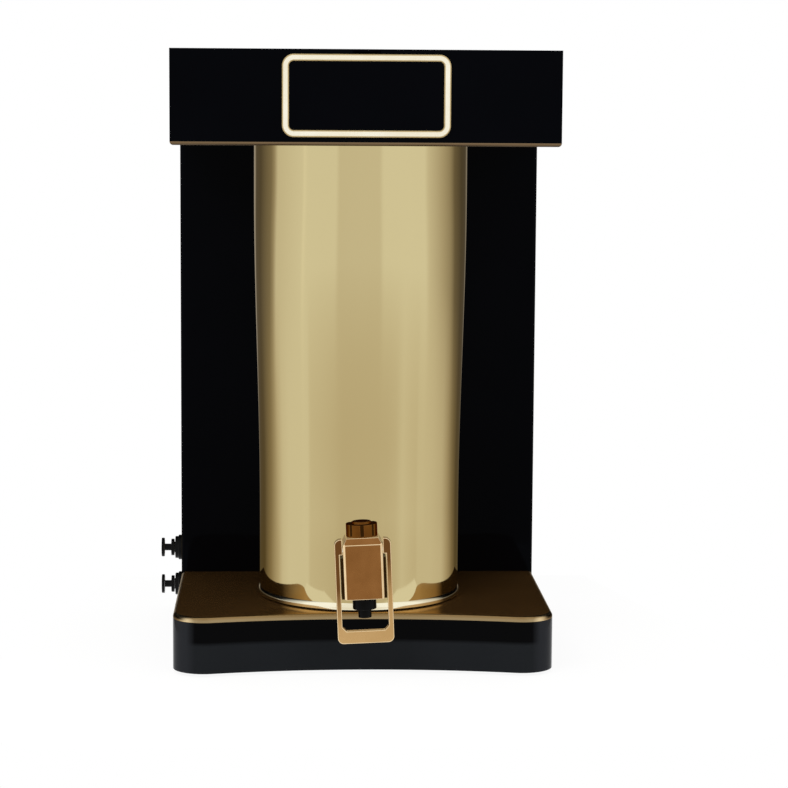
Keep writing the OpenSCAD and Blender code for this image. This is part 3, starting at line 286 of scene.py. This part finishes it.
def finish(name, dark, light, rough, patch, grain, relief, relief_mm,
           stretch=(1.0, 1.0, 1.0), fade=None, turns=(), edge=None, **sockets):
    """A surface with patches of two tones and two roughnesses, a fine relief, painted light and shade along
    its fades and turns, and a painted highlight along its edges.
    """
    mat, tree, main = shader(name)
    colour = two_tone(tree, noise(tree, patch, PATCH_DETAIL, stretch), dark, light)
    if fade:
        colour = faded(tree, colour, fade)
    for turn in turns:
        colour = turned(tree, colour, turn)
    if edge:
        colour = highlit_edges(tree, colour, edge)
    roughness = spread(tree, noise(tree, ROUGH_FINER * patch, ROUGH_DETAIL, stretch), NOISE_SPAN, rough)
    height = noise(tree, grain, GRAIN_DETAIL, stretch)
    tree.links.new(colour, main.inputs["Base Color"])
    tree.links.new(roughness, main.inputs["Roughness"])
    tree.links.new(bump(tree, height, relief, relief_mm * MM), main.inputs["Normal"])
    for socket, value in sockets.items():
        main.inputs[socket.replace("_", " ")].default_value = value
    return mat


# Textures that several finishes share
PLATED = {"patch": 14.0, "grain": 900.0, "relief": 0.05, "relief_mm": 0.03}
FRAMED = {"patch": 30.0, "grain": 1100.0, "relief": 0.10, "relief_mm": 0.03}
BRUSHED = {"patch": 60.0, "grain": 1500.0, "relief": 0.10, "relief_mm": 0.03}
CAST = {"patch": 70.0, "grain": 1500.0, "relief": 0.15, "relief_mm": 0.04}
MOULDED = {"patch": 80.0, "grain": 1600.0, "relief": 0.2, "relief_mm": 0.04}

# The base's painted reflection of the floor gives way to black between these heights, and the rim's painted
# highlight pales its lower part between these depths below the deck
BASE_REFLECTION_FADE = (26.5 * MM, 30.0 * MM)
RIM_HIGHLIGHT_FADE = (1.8 * MM - DECK_Z, 3.5 * MM - DECK_Z)
# The bail darkens up its arms, sooner on the left, as painted shade
BAIL_SHADE_WAY = (-0.6, 0.0, 1.0)
BAIL_SHADE_FADE = (62.0 * MM, 94.0 * MM)
# The plate under the head is darker with painted shade near its lower face, and pales from just above that
# face to just below its upper one
PLATE_SHADE_FADE = (floor_low.z + 0.5 * MM, floor_high.z - 0.5 * MM)

# The edge colour of each finish below is a painted highlight along its edges
gloss_black = finish(
    "gloss_black", (0.0006, 0.0008, 0.0016), (0.0011, 0.0013, 0.0024), (0.03, 0.08),
    patch=9.0, grain=140.0, relief=0.03, relief_mm=0.08, edge=(0.004, 0.004, 0.005), IOR=1.085)
# The base's lighter lower part is a painted reflection of the floor, black above the fade's heights, and its
# turn lightens the rounded corners with a painted reflection
base_black = finish(
    "base_black", (0.0105, 0.0120, 0.0140), (0.0130, 0.0145, 0.0165), (0.04, 0.10),
    patch=9.0, grain=90.0, relief=0.05, relief_mm=0.10,
    fade=Fade((0.0006, 0.0006, 0.0008), UP, BASE_REFLECTION_FADE),
    turns=[Turn((0.020, 0.0215, 0.025), (0.28, 0.55))], edge=(0.008, 0.008, 0.009), IOR=1.11)
satin_black = finish(
    "satin_black", (0.006, 0.006, 0.0065), (0.012, 0.012, 0.013), (0.38, 0.52),
    patch=30.0, grain=1400.0, relief=0.35, relief_mm=0.06, edge=(0.03, 0.03, 0.03))
# Rim copper: paler towards its lower edge and at its rounded corners with a painted highlight, back to its
# own tone further round
copper = finish(
    "copper", (0.265, 0.172, 0.070), (0.310, 0.205, 0.090), (0.16, 0.24), **PLATED,
    fade=Fade((0.35, 0.26, 0.135), DOWN, RIM_HIGHLIGHT_FADE),
    turns=[Turn((0.72, 0.56, 0.32), (0.28, 0.50)), Turn((0.310, 0.205, 0.090), (0.60, 0.80))],
    Metallic=1.0)
gold_mirror = finish(
    "gold_mirror", (0.600, 0.508, 0.268), (0.635, 0.542, 0.292), (0.03, 0.055),
    patch=6.0, grain=26.0, relief=0.02, relief_mm=0.1, stretch=(1.0, 1.0, 0.25), Metallic=1.0)
pale_gold = finish(
    "pale_gold", (0.93, 0.86, 0.66), (1.0, 0.97, 0.83), (0.25, 0.36), **FRAMED, Metallic=0.6)
# Darker gold on the badge frame's rounded edges: painted shade
warm_gold = finish(
    "warm_gold", (0.50, 0.38, 0.18), (0.60, 0.46, 0.23), (0.25, 0.36), **FRAMED, Metallic=0.6)
rose_gold = finish(
    "rose_gold", (0.27, 0.118, 0.034), (0.33, 0.150, 0.046), (0.22, 0.32), **BRUSHED,
    edge=(0.86, 0.60, 0.33), Metallic=1.0)
# Bail gold: darker up the arms as painted shade, with a painted highlight at its edges
bail_gold = finish(
    "bail_gold", (0.55, 0.345, 0.142), (0.60, 0.385, 0.168), (0.24, 0.34), **BRUSHED,
    fade=Fade((0.17, 0.075, 0.022), BAIL_SHADE_WAY, BAIL_SHADE_FADE), edge=(0.70, 0.50, 0.28), Metallic=1.0)
deck_copper = finish(
    "deck_copper", (0.38, 0.190, 0.060), (0.44, 0.225, 0.074), (0.15, 0.22), **PLATED,
    Metallic=0.90, Specular_Tint=(0.82, 0.68, 0.44, 1.0))
# The plate's dark copper towards its lower face is painted shade, paling towards its upper face
dull_copper = finish(
    "dull_copper", (0.060, 0.036, 0.016), (0.080, 0.048, 0.021), (0.20, 0.30),
    patch=30.0, grain=900.0, relief=0.08, relief_mm=0.03,
    fade=Fade((0.26, 0.185, 0.11), UP, PLATE_SHADE_FADE), Metallic=1.0)
# Pale gold on the tap's rounded edges and upright bevels: a painted highlight
edge_gold = finish(
    "edge_gold", (0.88, 0.66, 0.38), (0.95, 0.75, 0.47), (0.16, 0.24),
    patch=60.0, grain=1500.0, relief=0.05, relief_mm=0.02, Metallic=1.0)
# Bright pale gold on the tank's bead, the tank's own metal made lighter: a painted highlight
bead_gold = finish(
    "bead_gold", (0.90, 0.84, 0.62), (0.96, 0.91, 0.71), (0.08, 0.14),
    patch=30.0, grain=300.0, relief=0.02, relief_mm=0.05, Metallic=1.0)
bonnet_bronze = finish(
    "bonnet_bronze", (0.130, 0.048, 0.008), (0.190, 0.072, 0.012), (0.30, 0.42), **CAST,
    edge=(0.26, 0.12, 0.032), Metallic=1.0, Specular_Tint=(0.45, 0.22, 0.07, 1.0))
# Darker bronze in the bonnet's flutes and on its top: painted shade
flute_bronze = finish(
    "flute_bronze", (0.034, 0.014, 0.003), (0.050, 0.020, 0.004), (0.35, 0.50), **CAST,
    Metallic=1.0, Specular_Tint=(0.30, 0.14, 0.04, 1.0))
black_plastic = finish(
    "black_plastic", (0.004, 0.004, 0.0045), (0.009, 0.009, 0.0095), (0.22, 0.36), **MOULDED,
    edge=(0.02, 0.02, 0.02))
tap_black = finish(
    "tap_black", (0.0015, 0.0015, 0.0015), (0.003, 0.003, 0.003), (0.18, 0.30), **MOULDED,
    edge=(0.01, 0.01, 0.01), IOR=1.16)
# Dark bronze on the side plates in the slots beside the tap's body: painted shadow
slot_bronze = finish(
    "slot_bronze", (0.022, 0.010, 0.003), (0.034, 0.016, 0.004), (0.40, 0.55), **MOULDED,
    edge=(0.10, 0.05, 0.014), Metallic=1.0)
fitting_black = finish(
    "fitting_black", (0.002, 0.002, 0.002), (0.004, 0.004, 0.004), (0.30, 0.45), **MOULDED,
    edge=(0.012, 0.012, 0.012), IOR=1.2)
black_rubber = finish(
    "black_rubber", (0.010, 0.010, 0.010), (0.022, 0.022, 0.022), (0.65, 0.85),
    patch=60.0, grain=900.0, relief=0.4, relief_mm=0.08)
white_plastic = finish(
    "white_plastic", (0.74, 0.74, 0.72), (0.82, 0.82, 0.80), (0.32, 0.46),
    patch=24.0, grain=1200.0, relief=0.15, relief_mm=0.04, edge=(0.9, 0.9, 0.89))
plain_steel = finish(
    "plain_steel", (0.50, 0.51, 0.52), (0.62, 0.63, 0.64), (0.24, 0.40),
    patch=30.0, grain=600.0, relief=0.12, relief_mm=0.04, stretch=(0.15, 1.0, 1.0),
    edge=(0.8, 0.8, 0.8), Metallic=1.0)
circuit_green = finish(
    "circuit_green", (0.015, 0.12, 0.05), (0.03, 0.18, 0.07), (0.25, 0.4),
    patch=220.0, grain=700.0, relief=0.3, relief_mm=0.1)
lamp_glass = finish(
    "lamp_glass", (0.80, 0.84, 0.90), (0.88, 0.90, 0.95), (0.05, 0.12),
    patch=40.0, grain=500.0, relief=0.05, relief_mm=0.05, Transmission_Weight=0.7)

# Finishes of the record's slots, of nodes that differ from their slot, and of rounded edges
FINISHES = {
    "gloss_black": gloss_black,
    "satin_black": satin_black,
    "copper_plate": copper,
    "gold_mirror": gold_mirror,
    "pale_gold": pale_gold,
    "rose_gold": rose_gold,
    "black_plastic": black_plastic,
    "black_rubber": black_rubber,
    "white_plastic": white_plastic,
    "plain_steel": plain_steel,
    "circuit_board": circuit_green,
    "lamp_glass": lamp_glass,
}
OWN_FINISHES = {
    "base_shell": base_black,
    "head_floor": dull_copper,
    "tank_foot_ring": bead_gold,
    "tap_bail": bail_gold,
    "tap_bonnet": bonnet_bronze,
    "tap_nozzle": tap_black,
    "tap_side_plates": slot_bronze,
}
for side in ("inlet", "drain"):
    for fitting in ("union", "collet", "plug"):
        OWN_FINISHES[f"{side}_{fitting}"] = fitting_black
# The tap's and the bail's rounded edges take a paler gold as a painted highlight, and the badge frame's a
# darker gold as painted shade
EDGE_FINISHES = {"tap_body": edge_gold, "tap_bail": edge_gold, "badge_frame": warm_gold}
# Place of a piece's second finish
SECOND = 1

slot_of = {part["node"]: part["material_slot"] for part in frame["record"]["subparts"]}
body_of = {node: body for body, members in frame["record"]["behaviour"]["bodies"].items() for node in members}


def finish_of(node):
    """The finish of a node: its own, or that of its slot."""
    return OWN_FINISHES.get(node) or FINISHES[slot_of[node]]


for node_name, node_object in nodes.items():
    node_object.data.materials.clear()
    node_object.data.materials.append(finish_of(node_name))


# Pieces

def placed(name, data):
    """A new object in the scene."""
    obj = bpy.data.objects.new(name, data)
    bpy.context.scene.collection.objects.link(obj)
    return obj


def mesh_from(bm, name):
    """A new mesh from a bmesh, which is freed."""
    mesh = bpy.data.meshes.new(name)
    bm.to_mesh(mesh)
    bm.free()
    return mesh


def piece(name, mesh, node, smooth_deg=SMOOTH_DEG, between=None):
    """A new object that stands for a CAD node, with that node's finish, on its body, or on no body with its
    transform applied when between is given.
    """
    mesh.materials.clear()
    mesh.materials.append(finish_of(node))
    obj = placed(name, mesh)
    mesh.shade_smooth()
    mesh.set_sharp_from_angle(angle=math.radians(smooth_deg))
    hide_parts(node)
    if between:
        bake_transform(obj)
    else:
        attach(obj, body_of[node])
    return obj


def clean_copy(node, name):
    """A copy of a CAD node's mesh without doubled points and without edges across flat faces."""
    bm = bmesh.new()
    bm.from_mesh(nodes[node].data)
    bmesh.ops.remove_doubles(bm, verts=bm.verts, dist=MERGE_GAP * MM)
    bmesh.ops.dissolve_limit(bm, angle_limit=math.radians(FLAT_DEG), verts=bm.verts, edges=bm.edges)
    return mesh_from(bm, name)


def bevelled(node, width_mm):
    """A copy of a CAD node with its edges rounded."""
    mesh = clean_copy(node, node + "_dressed")
    obj = piece(node + "_dressed", mesh, node)
    rounding = obj.modifiers.new("rounding", "BEVEL")
    rounding.width = width_mm * MM
    rounding.segments = EDGE_STEPS
    rounding.limit_method = "ANGLE"
    rounding.angle_limit = math.radians(SHALLOW_EDGES.get(node, EDGE_DEG))
    rounding.harden_normals = True
    rounding.use_clamp_overlap = node not in SHALLOW_EDGES
    if node in EDGE_FINISHES:
        mesh.materials.append(EDGE_FINISHES[node])
        rounding.material = SECOND
    return obj


def lathe(name, node, profile, centre):
    """A round piece that stands for a node, turned from a profile of radius and height in metres."""
    bm = bmesh.new()
    rings = []
    for radius, height in profile:
        ring = []
        for i in range(LATHE_STEPS):
            angle = 2 * math.pi * i / LATHE_STEPS
            x = centre.x + radius * math.cos(angle)
            y = centre.y + radius * math.sin(angle)
            ring.append(bm.verts.new((x, y, height)))
        rings.append(ring)
    for lower, upper in zip(rings, rings[1:]):
        for i in range(LATHE_STEPS):
            after = (i + 1) % LATHE_STEPS
            bm.faces.new((lower[i], lower[after], upper[after], upper[i]))
    return piece(name, mesh_from(bm, name), node)


def arc(centre, radius, start_deg, end_deg, steps):
    """Points along an arc, as pairs."""
    points = []
    for i in range(steps + 1):
        angle = math.radians(start_deg + (end_deg - start_deg) * i / steps)
        points.append((centre[0] + radius * math.cos(angle), centre[1] + radius * math.sin(angle)))
    return points


def smooth_step(t):
    """A smooth rise from 0 to 1."""
    t = min(max(t, 0.0), 1.0)
    return t * t * (3 - 2 * t)


# Tank and the bead around its foot

def tank_radius(z):
    """Outer radius of the tank at a height, in metres."""
    flare = smooth_step((z - DECK_Z) / MM / FLARE_H - FLARE_UP / FLARE_H)
    return (TANK_LOW_R + (TANK_TOP_R - TANK_LOW_R) * flare) * MM


tank_axis = Vector((TANK_X, TANK_Y, 0.0))
tank_floor_z = tank_low.z + TANK_WALL * MM
tank_heights = [tank_low.z + (tank_high.z - tank_low.z) * i / TANK_STEPS for i in range(TANK_STEPS + 1)]
tank_outside = [(tank_radius(z), z) for z in tank_heights]
tank_inside = [(r - TANK_WALL * MM, max(z, tank_floor_z)) for r, z in reversed(tank_outside)]
tank_under = (TANK_MIDDLE_R * MM, tank_low.z)
tank_floor = (TANK_MIDDLE_R * MM, tank_floor_z)
lathe("tank_mirror", "tank_shell", [tank_under, *tank_outside, *tank_inside, tank_floor], tank_axis)

bead_low, bead_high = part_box("tank_foot_ring")
bead_centre = (bead_high.x - TANK_X - BEAD_R * MM, bead_low.z + BEAD_UP * MM)
bead_end = math.degrees(math.acos((TANK_LOW_R * MM - bead_centre[0]) / (BEAD_R * MM)))
bead_foot_z = bead_low.z - BEAD_DROP * MM
bead_foot = [((TANK_LOW_R - BEAD_R) * MM, bead_foot_z), (bead_high.x - TANK_X, bead_foot_z)]
bead_round = arc(bead_centre, BEAD_R * MM, 0, bead_end, BEAD_STEPS)
lathe("tank_bead", "tank_foot_ring", [*bead_foot, *bead_round, bead_foot[0]], tank_axis)


# Base deck: a plate with a rolled rim

def deck_outline(inset):
    """Plan of the base drawn in by inset, from the back right corner round the front, in metres."""
    corner_r = BASE_CORNER_R * MM
    hollow_r = FRONT_HOLLOW_R * MM
    hollow_y = CAB_FRONT - (BASE_REACH + FRONT_HOLLOW_R) * MM
    corner_x = HALF_W - corner_r
    corner_y = hollow_y + math.sqrt((hollow_r + corner_r) ** 2 - corner_x ** 2)
    meet = math.degrees(math.atan2(corner_y - hollow_y, corner_x))
    right = [(HALF_W - inset, CAB_FRONT)]
    right += arc((corner_x, corner_y), corner_r - inset, 0, meet - 180, CORNER_STEPS)
    front = arc((0.0, hollow_y), hollow_r + inset, meet, 180 - meet, HOLLOW_STEPS)[1:-1]
    left = [(-x, y) for x, y in reversed(right)]
    return right + front + left


def deck():
    """The deck's plate, with a finish of its own on its top."""
    rim = RIM_R * MM
    levels = [(rim, deck_low.z), (0.0, deck_low.z)]
    for i in range(RIM_STEPS + 1):
        angle = math.radians(90 * i / RIM_STEPS)
        levels.append((rim * (1 - math.cos(angle)), DECK_Z - rim * (1 - math.sin(angle))))
    bm = bmesh.new()
    rings = []
    for inset, z in levels:
        rings.append([bm.verts.new((x, y, z)) for x, y in deck_outline(inset)])
    for lower, upper in zip(rings, rings[1:]):
        for i in range(len(lower) - 1):
            bm.faces.new((lower[i], upper[i], upper[i + 1], lower[i + 1]))
    bm.faces.new(list(reversed(rings[-1])))
    bm.normal_update()
    bmesh.ops.recalc_face_normals(bm, faces=bm.faces)
    mesh = mesh_from(bm, "deck_plate")
    piece("deck_plate", mesh, "base_deck", DECK_SMOOTH_DEG)
    mesh.materials.append(deck_copper)
    for face in mesh.polygons:
        if face.normal.z > DECK_TOP_UP:
            face.material_index = SECOND


deck()

# Pieces whose solids only need rounded edges, with the radius in millimetres
ROUNDED = {
    "head_shell": 0.8, "head_lid": 0.6, "head_floor": 0.3, "badge_frame": 1.2, "badge_plate": 0.2,
    "cabinet_shell": 0.4, "base_shell": 0.5, "back_cover": 0.3, "tap_body": 0.35, "tap_bonnet": 0.4,
    "tap_side_plates": 0.3, "tap_bail": 0.7, "tap_nozzle": 0.5, "tap_shank": 0.4, "feet": 0.6,
    "cord_grommet": 0.6, "inlet_union": 0.5, "inlet_collet": 0.4, "inlet_plug": 0.5,
    "drain_union": 0.5, "drain_collet": 0.4, "drain_plug": 0.5, "tank_lid": 0.5, "uv_chamber": 0.5,
    "back_cover_screws": 0.3,
}
dressed = {node: bevelled(node, radius) for node, radius in ROUNDED.items()}

# Valve spring: a smoothed copy on no body, with its transform applied; the bodies and ends given for it are
# not used
spring_low, spring_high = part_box("valve_spring")
spring_middle = (spring_low + spring_high) / 2
spring_half = Vector(joints["valve_lift"]["axis"]) * (spring_high.z - spring_low.z) / 2
spring_between = ("valve", "case", tuple(spring_middle - spring_half), tuple(spring_middle + spring_half))
spring_mesh = clean_copy("valve_spring", "valve_spring_wound")
piece("valve_spring_wound", spring_mesh, "valve_spring", SPRING_SMOOTH_DEG, spring_between)

# Upright bevels beside the tap's front face take the paler gold as a painted highlight
for face in dressed["tap_body"].data.polygons:
    sideways = BEVEL_SIDEWAYS[0] < abs(face.normal.x) < BEVEL_SIDEWAYS[1]
    if sideways and face.normal.y < -BEVEL_FORWARD:
        face.material_index = SECOND

# Top of the tap's bonnet, and its flutes, which lie deeper than its round side, take a darker bronze as
# painted shade
bonnet = dressed["tap_bonnet"].data
bonnet_low, bonnet_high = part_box("tap_bonnet")
bonnet_axis = (bonnet_low + bonnet_high) / 2
bonnet_r = (bonnet_high.y - bonnet_low.y) / 2
bonnet.materials.append(flute_bronze)
for face in bonnet.polygons:
    depth = bonnet_r - math.hypot(face.center.x - bonnet_axis.x, face.center.y - bonnet_axis.y)
    in_flute = abs(face.normal.z) < FLUTE_UP and FLUTE_EDGE * MM < depth < FLUTE_FLOOR * MM
    if in_flute or face.normal.z > BONNET_TOP_UP:
        face.material_index = SECOND

# The tank and the deck mirror neither the tap nor the cabinet and what it holds
UNMIRRORED = ("tap_", "valve_", "stem_", "water_tubes")
for obj in bpy.context.scene.objects:
    behind = min(corner[1] for corner in obj.bound_box) > CAB_FRONT - MM
    if behind or obj.name.startswith(UNMIRRORED):
        obj.visible_glossy = False


# Camera

# Place in millimetres, turns in degrees, and the lens and sensor in millimetres
CAMERA_PLACE = (-66.0, -2216.6, 486.3)
CAMERA_YAW = -2.498
CAMERA_PITCH = -6.75
CAMERA_ROLL = -0.36
CAMERA_LENS = 113.6
CAMERA_SENSOR = 36.0


def camera_turn():
    """Turn of the camera, which looks along +Y when all its angles are 0."""
    yaw = Matrix.Rotation(math.radians(CAMERA_YAW), 4, "Z")
    pitch = Matrix.Rotation(math.radians(CAMERA_PITCH), 4, "X")
    roll = Matrix.Rotation(math.radians(CAMERA_ROLL), 4, "Y")
    level = Matrix.Rotation(math.radians(90), 4, "X")
    return yaw @ pitch @ roll @ level


camera_data = bpy.data.cameras.new("camera")
camera_data.sensor_width = CAMERA_SENSOR
camera_data.lens = CAMERA_LENS
camera = placed("camera", camera_data)
camera.matrix_world = Matrix.Translation(Vector(CAMERA_PLACE) * MM) @ camera_turn()
bpy.context.scene.camera = camera


# Floor

# Outline in metres, the scale and detail of its patches, and their two tones
FLOOR_OUTLINE = [
    (-0.26, -0.38), (0.27, -0.38), (0.41, -0.28), (0.37, -0.22),
    (0.24, 0.30), (-0.24, 0.30), (-0.34, -0.22), (-0.39, -0.28),
]
FLOOR_PATCH = 1.5
FLOOR_DETAIL = 4.0
FLOOR_DARK = (0.86, 0.85, 0.83)
FLOOR_LIGHT = (0.90, 0.89, 0.87)
FLOOR_ROUGHNESS = 0.9
# Strength of the floor's plain white, and the shares of it that the camera sees and mirrors show
FLOOR_WHITE = 1.04
FLOOR_SEEN = 0.88
FLOOR_MIRRORED = 0.95


def seen_share(tree, camera_share, mirror_share):
    """A share for what the camera sees, and another for what mirrors and glass show."""
    path = tree.nodes.new("ShaderNodeLightPath")
    by_camera = calculated(tree, "MULTIPLY", path.outputs["Is Camera Ray"], camera_share)
    by_mirror = calculated(tree, "MULTIPLY", path.outputs["Is Glossy Ray"], mirror_share)
    by_glass = calculated(tree, "MULTIPLY", path.outputs["Is Transmission Ray"], mirror_share)
    return calculated(tree, "MAXIMUM", calculated(tree, "MAXIMUM", by_camera, by_mirror), by_glass)


def floor():
    """A pale board under the object."""
    mesh = bpy.data.meshes.new("floor")
    mesh.from_pydata([(x, y, 0.0) for x, y in FLOOR_OUTLINE], [], [range(len(FLOOR_OUTLINE))])
    mat, tree, main = shader("floor")
    tones = two_tone(tree, noise(tree, FLOOR_PATCH, FLOOR_DETAIL), FLOOR_DARK, FLOOR_LIGHT)
    tree.links.new(tones, main.inputs["Base Color"])
    main.inputs["Roughness"].default_value = FLOOR_ROUGHNESS
    main.inputs["Specular IOR Level"].default_value = 0.0
    white = tree.nodes.new("ShaderNodeEmission")
    white.inputs["Strength"].default_value = FLOOR_WHITE
    share = seen_share(tree, FLOOR_SEEN, FLOOR_MIRRORED)
    surface = shader_mix(tree, share, main.outputs["BSDF"], white.outputs["Emission"])
    tree.links.new(surface, tree.nodes["Material Output"].inputs["Surface"])
    mesh.materials.append(mat)
    placed("floor", mesh)


floor()


# Studio

# Brightness by compass angle, where 0 is the front and 90 the right, level with the object
LEVEL = [
    (-180, 0.36), (-164, 0.34), (-158, 0.11), (-140, 0.12), (-115, 0.30), (-109, 0.48),
    (-103, 0.86), (-67, 0.98), (-65, 1.08), (-61, 1.0), (-28, 1.0), (-24, 0.88),
    (19, 0.88), (23, 1.0), (72, 1.0), (77, 0.86), (99, 0.60), (113, 0.42),
    (122, 0.20), (140, 0.10), (158, 0.09), (164, 0.24), (180, 0.26),
]
# The same below the object
BELOW = [
    (-180, 0.08), (-135, 0.12), (-118, 0.35), (-103, 0.66), (-95, 0.88), (-85, 0.95),
    (-59, 0.95), (-56, 0.85), (-37, 0.81), (-19, 0.76), (28, 0.76), (38, 0.79),
    (46, 0.88), (55, 0.83), (63, 0.80), (66, 0.85), (85, 0.85), (103, 0.79),
    (115, 0.55), (128, 0.28), (140, 0.12), (180, 0.08),
]
# Above the object's own level the studio is dark behind it
BACK_DEG = 100
HIGH = [(degrees, tone if abs(degrees) < BACK_DEG else 0.0) for degrees, tone in LEVEL]
# Rises of a direction over which the level tones turn into the high ones, and into those below
HIGH_SPAN = (0.0, 0.04)
BELOW_SPAN = (-0.10, -0.18)
# Tints of the dark parts
LEVEL_TINT = (1.0, 0.78, 0.50)
BELOW_TINT = (1.0, 0.68, 0.22)
# The compass angle is drawn in below and out above, over this rise
SQUEEZE = (0.945, 1.015)
SQUEEZE_SPAN = (-0.135, -0.03)
# Even light on all that isn't a mirror, and the white that the camera sees
EVEN_GREY = (0.70, 0.70, 0.71, 1.0)
WHITE = (1.0, 1.0, 1.0, 1.0)


def tone_ramp(tree, share, tones, tint):
    """A colour by compass angle, tinted where it is dark."""
    ramp = tree.nodes.new("ShaderNodeValToRGB")
    stops = ramp.color_ramp.elements
    while len(stops) < len(tones):
        stops.new(0.5)
    for stop, (degrees, tone) in zip(stops, tones):
        stop.position = (degrees + 180) / 360
        stop.color = (*(tone * (shade + (1.0 - shade) * min(tone, 1.0)) for shade in tint), 1.0)
    tree.links.new(share, ramp.inputs["Fac"])
    return ramp.outputs["Color"]


def background(tree, colour):
    """A background of a constant colour, or of another node's."""
    node = tree.nodes.new("ShaderNodeBackground")
    put(tree, colour, node.inputs["Color"])
    return node.outputs["Background"]


def surroundings():
    """White for the camera, a studio of soft bands for mirrors and glass, and an even light for all else."""
    world = bpy.data.worlds.new("surroundings")
    world.use_nodes = True
    tree = world.node_tree
    tree.nodes.clear()
    place = tree.nodes.new("ShaderNodeTexCoord")
    split = tree.nodes.new("ShaderNodeSeparateXYZ")
    tree.links.new(place.outputs["Generated"], split.inputs["Vector"])
    rise = split.outputs["Z"]
    forward = calculated(tree, "MULTIPLY", split.outputs["Y"], -1.0)
    angle = calculated(tree, "ARCTAN2", split.outputs["X"], forward)
    squeezed = calculated(tree, "MULTIPLY", angle, spread(tree, rise, SQUEEZE_SPAN, SQUEEZE))
    share = spread(tree, squeezed, (-math.pi, math.pi))
    level = tone_ramp(tree, share, LEVEL, LEVEL_TINT)
    high = tone_ramp(tree, share, HIGH, LEVEL_TINT)
    below = tone_ramp(tree, share, BELOW, BELOW_TINT)
    tones = mixed(tree, spread(tree, rise, HIGH_SPAN), level, high)
    tones = mixed(tree, spread(tree, rise, BELOW_SPAN), tones, below)
    even = background(tree, EVEN_GREY)
    studio = background(tree, tones)
    white = background(tree, WHITE)
    mirrored = shader_mix(tree, seen_share(tree, 0.0, 1.0), even, studio)
    seen = shader_mix(tree, seen_share(tree, 1.0, 0.0), mirrored, white)
    out = tree.nodes.new("ShaderNodeOutputWorld")
    tree.links.new(seen, out.inputs["Surface"])
    bpy.context.scene.world = world


surroundings()

# Lights with their places in metres and their power in watts, all square and aimed at one point
LIGHTS = [("key", (-1.4, -2.0, 2.2), 30.0), ("fill", (1.6, -2.0, 1.4), 14.0)]
LIGHT_TARGET = (0.0, 0.0, 0.25)
LIGHT_SIZE = 1.6


def area_light(name, place, power):
    """A soft light that lights surfaces but isn't mirrored as a hard shape."""
    light = bpy.data.lights.new(name, "AREA")
    light.shape = "SQUARE"
    light.size = LIGHT_SIZE
    light.energy = power
    obj = placed(name, light)
    direction = Vector(LIGHT_TARGET) - Vector(place)
    obj.location = place
    obj.rotation_euler = direction.to_track_quat("-Z", "Y").to_euler()
    obj.visible_camera = False
    obj.visible_glossy = False


for light_row in LIGHTS:
    area_light(*light_row)
bpy.context.scene.view_settings.view_transform = "Standard"
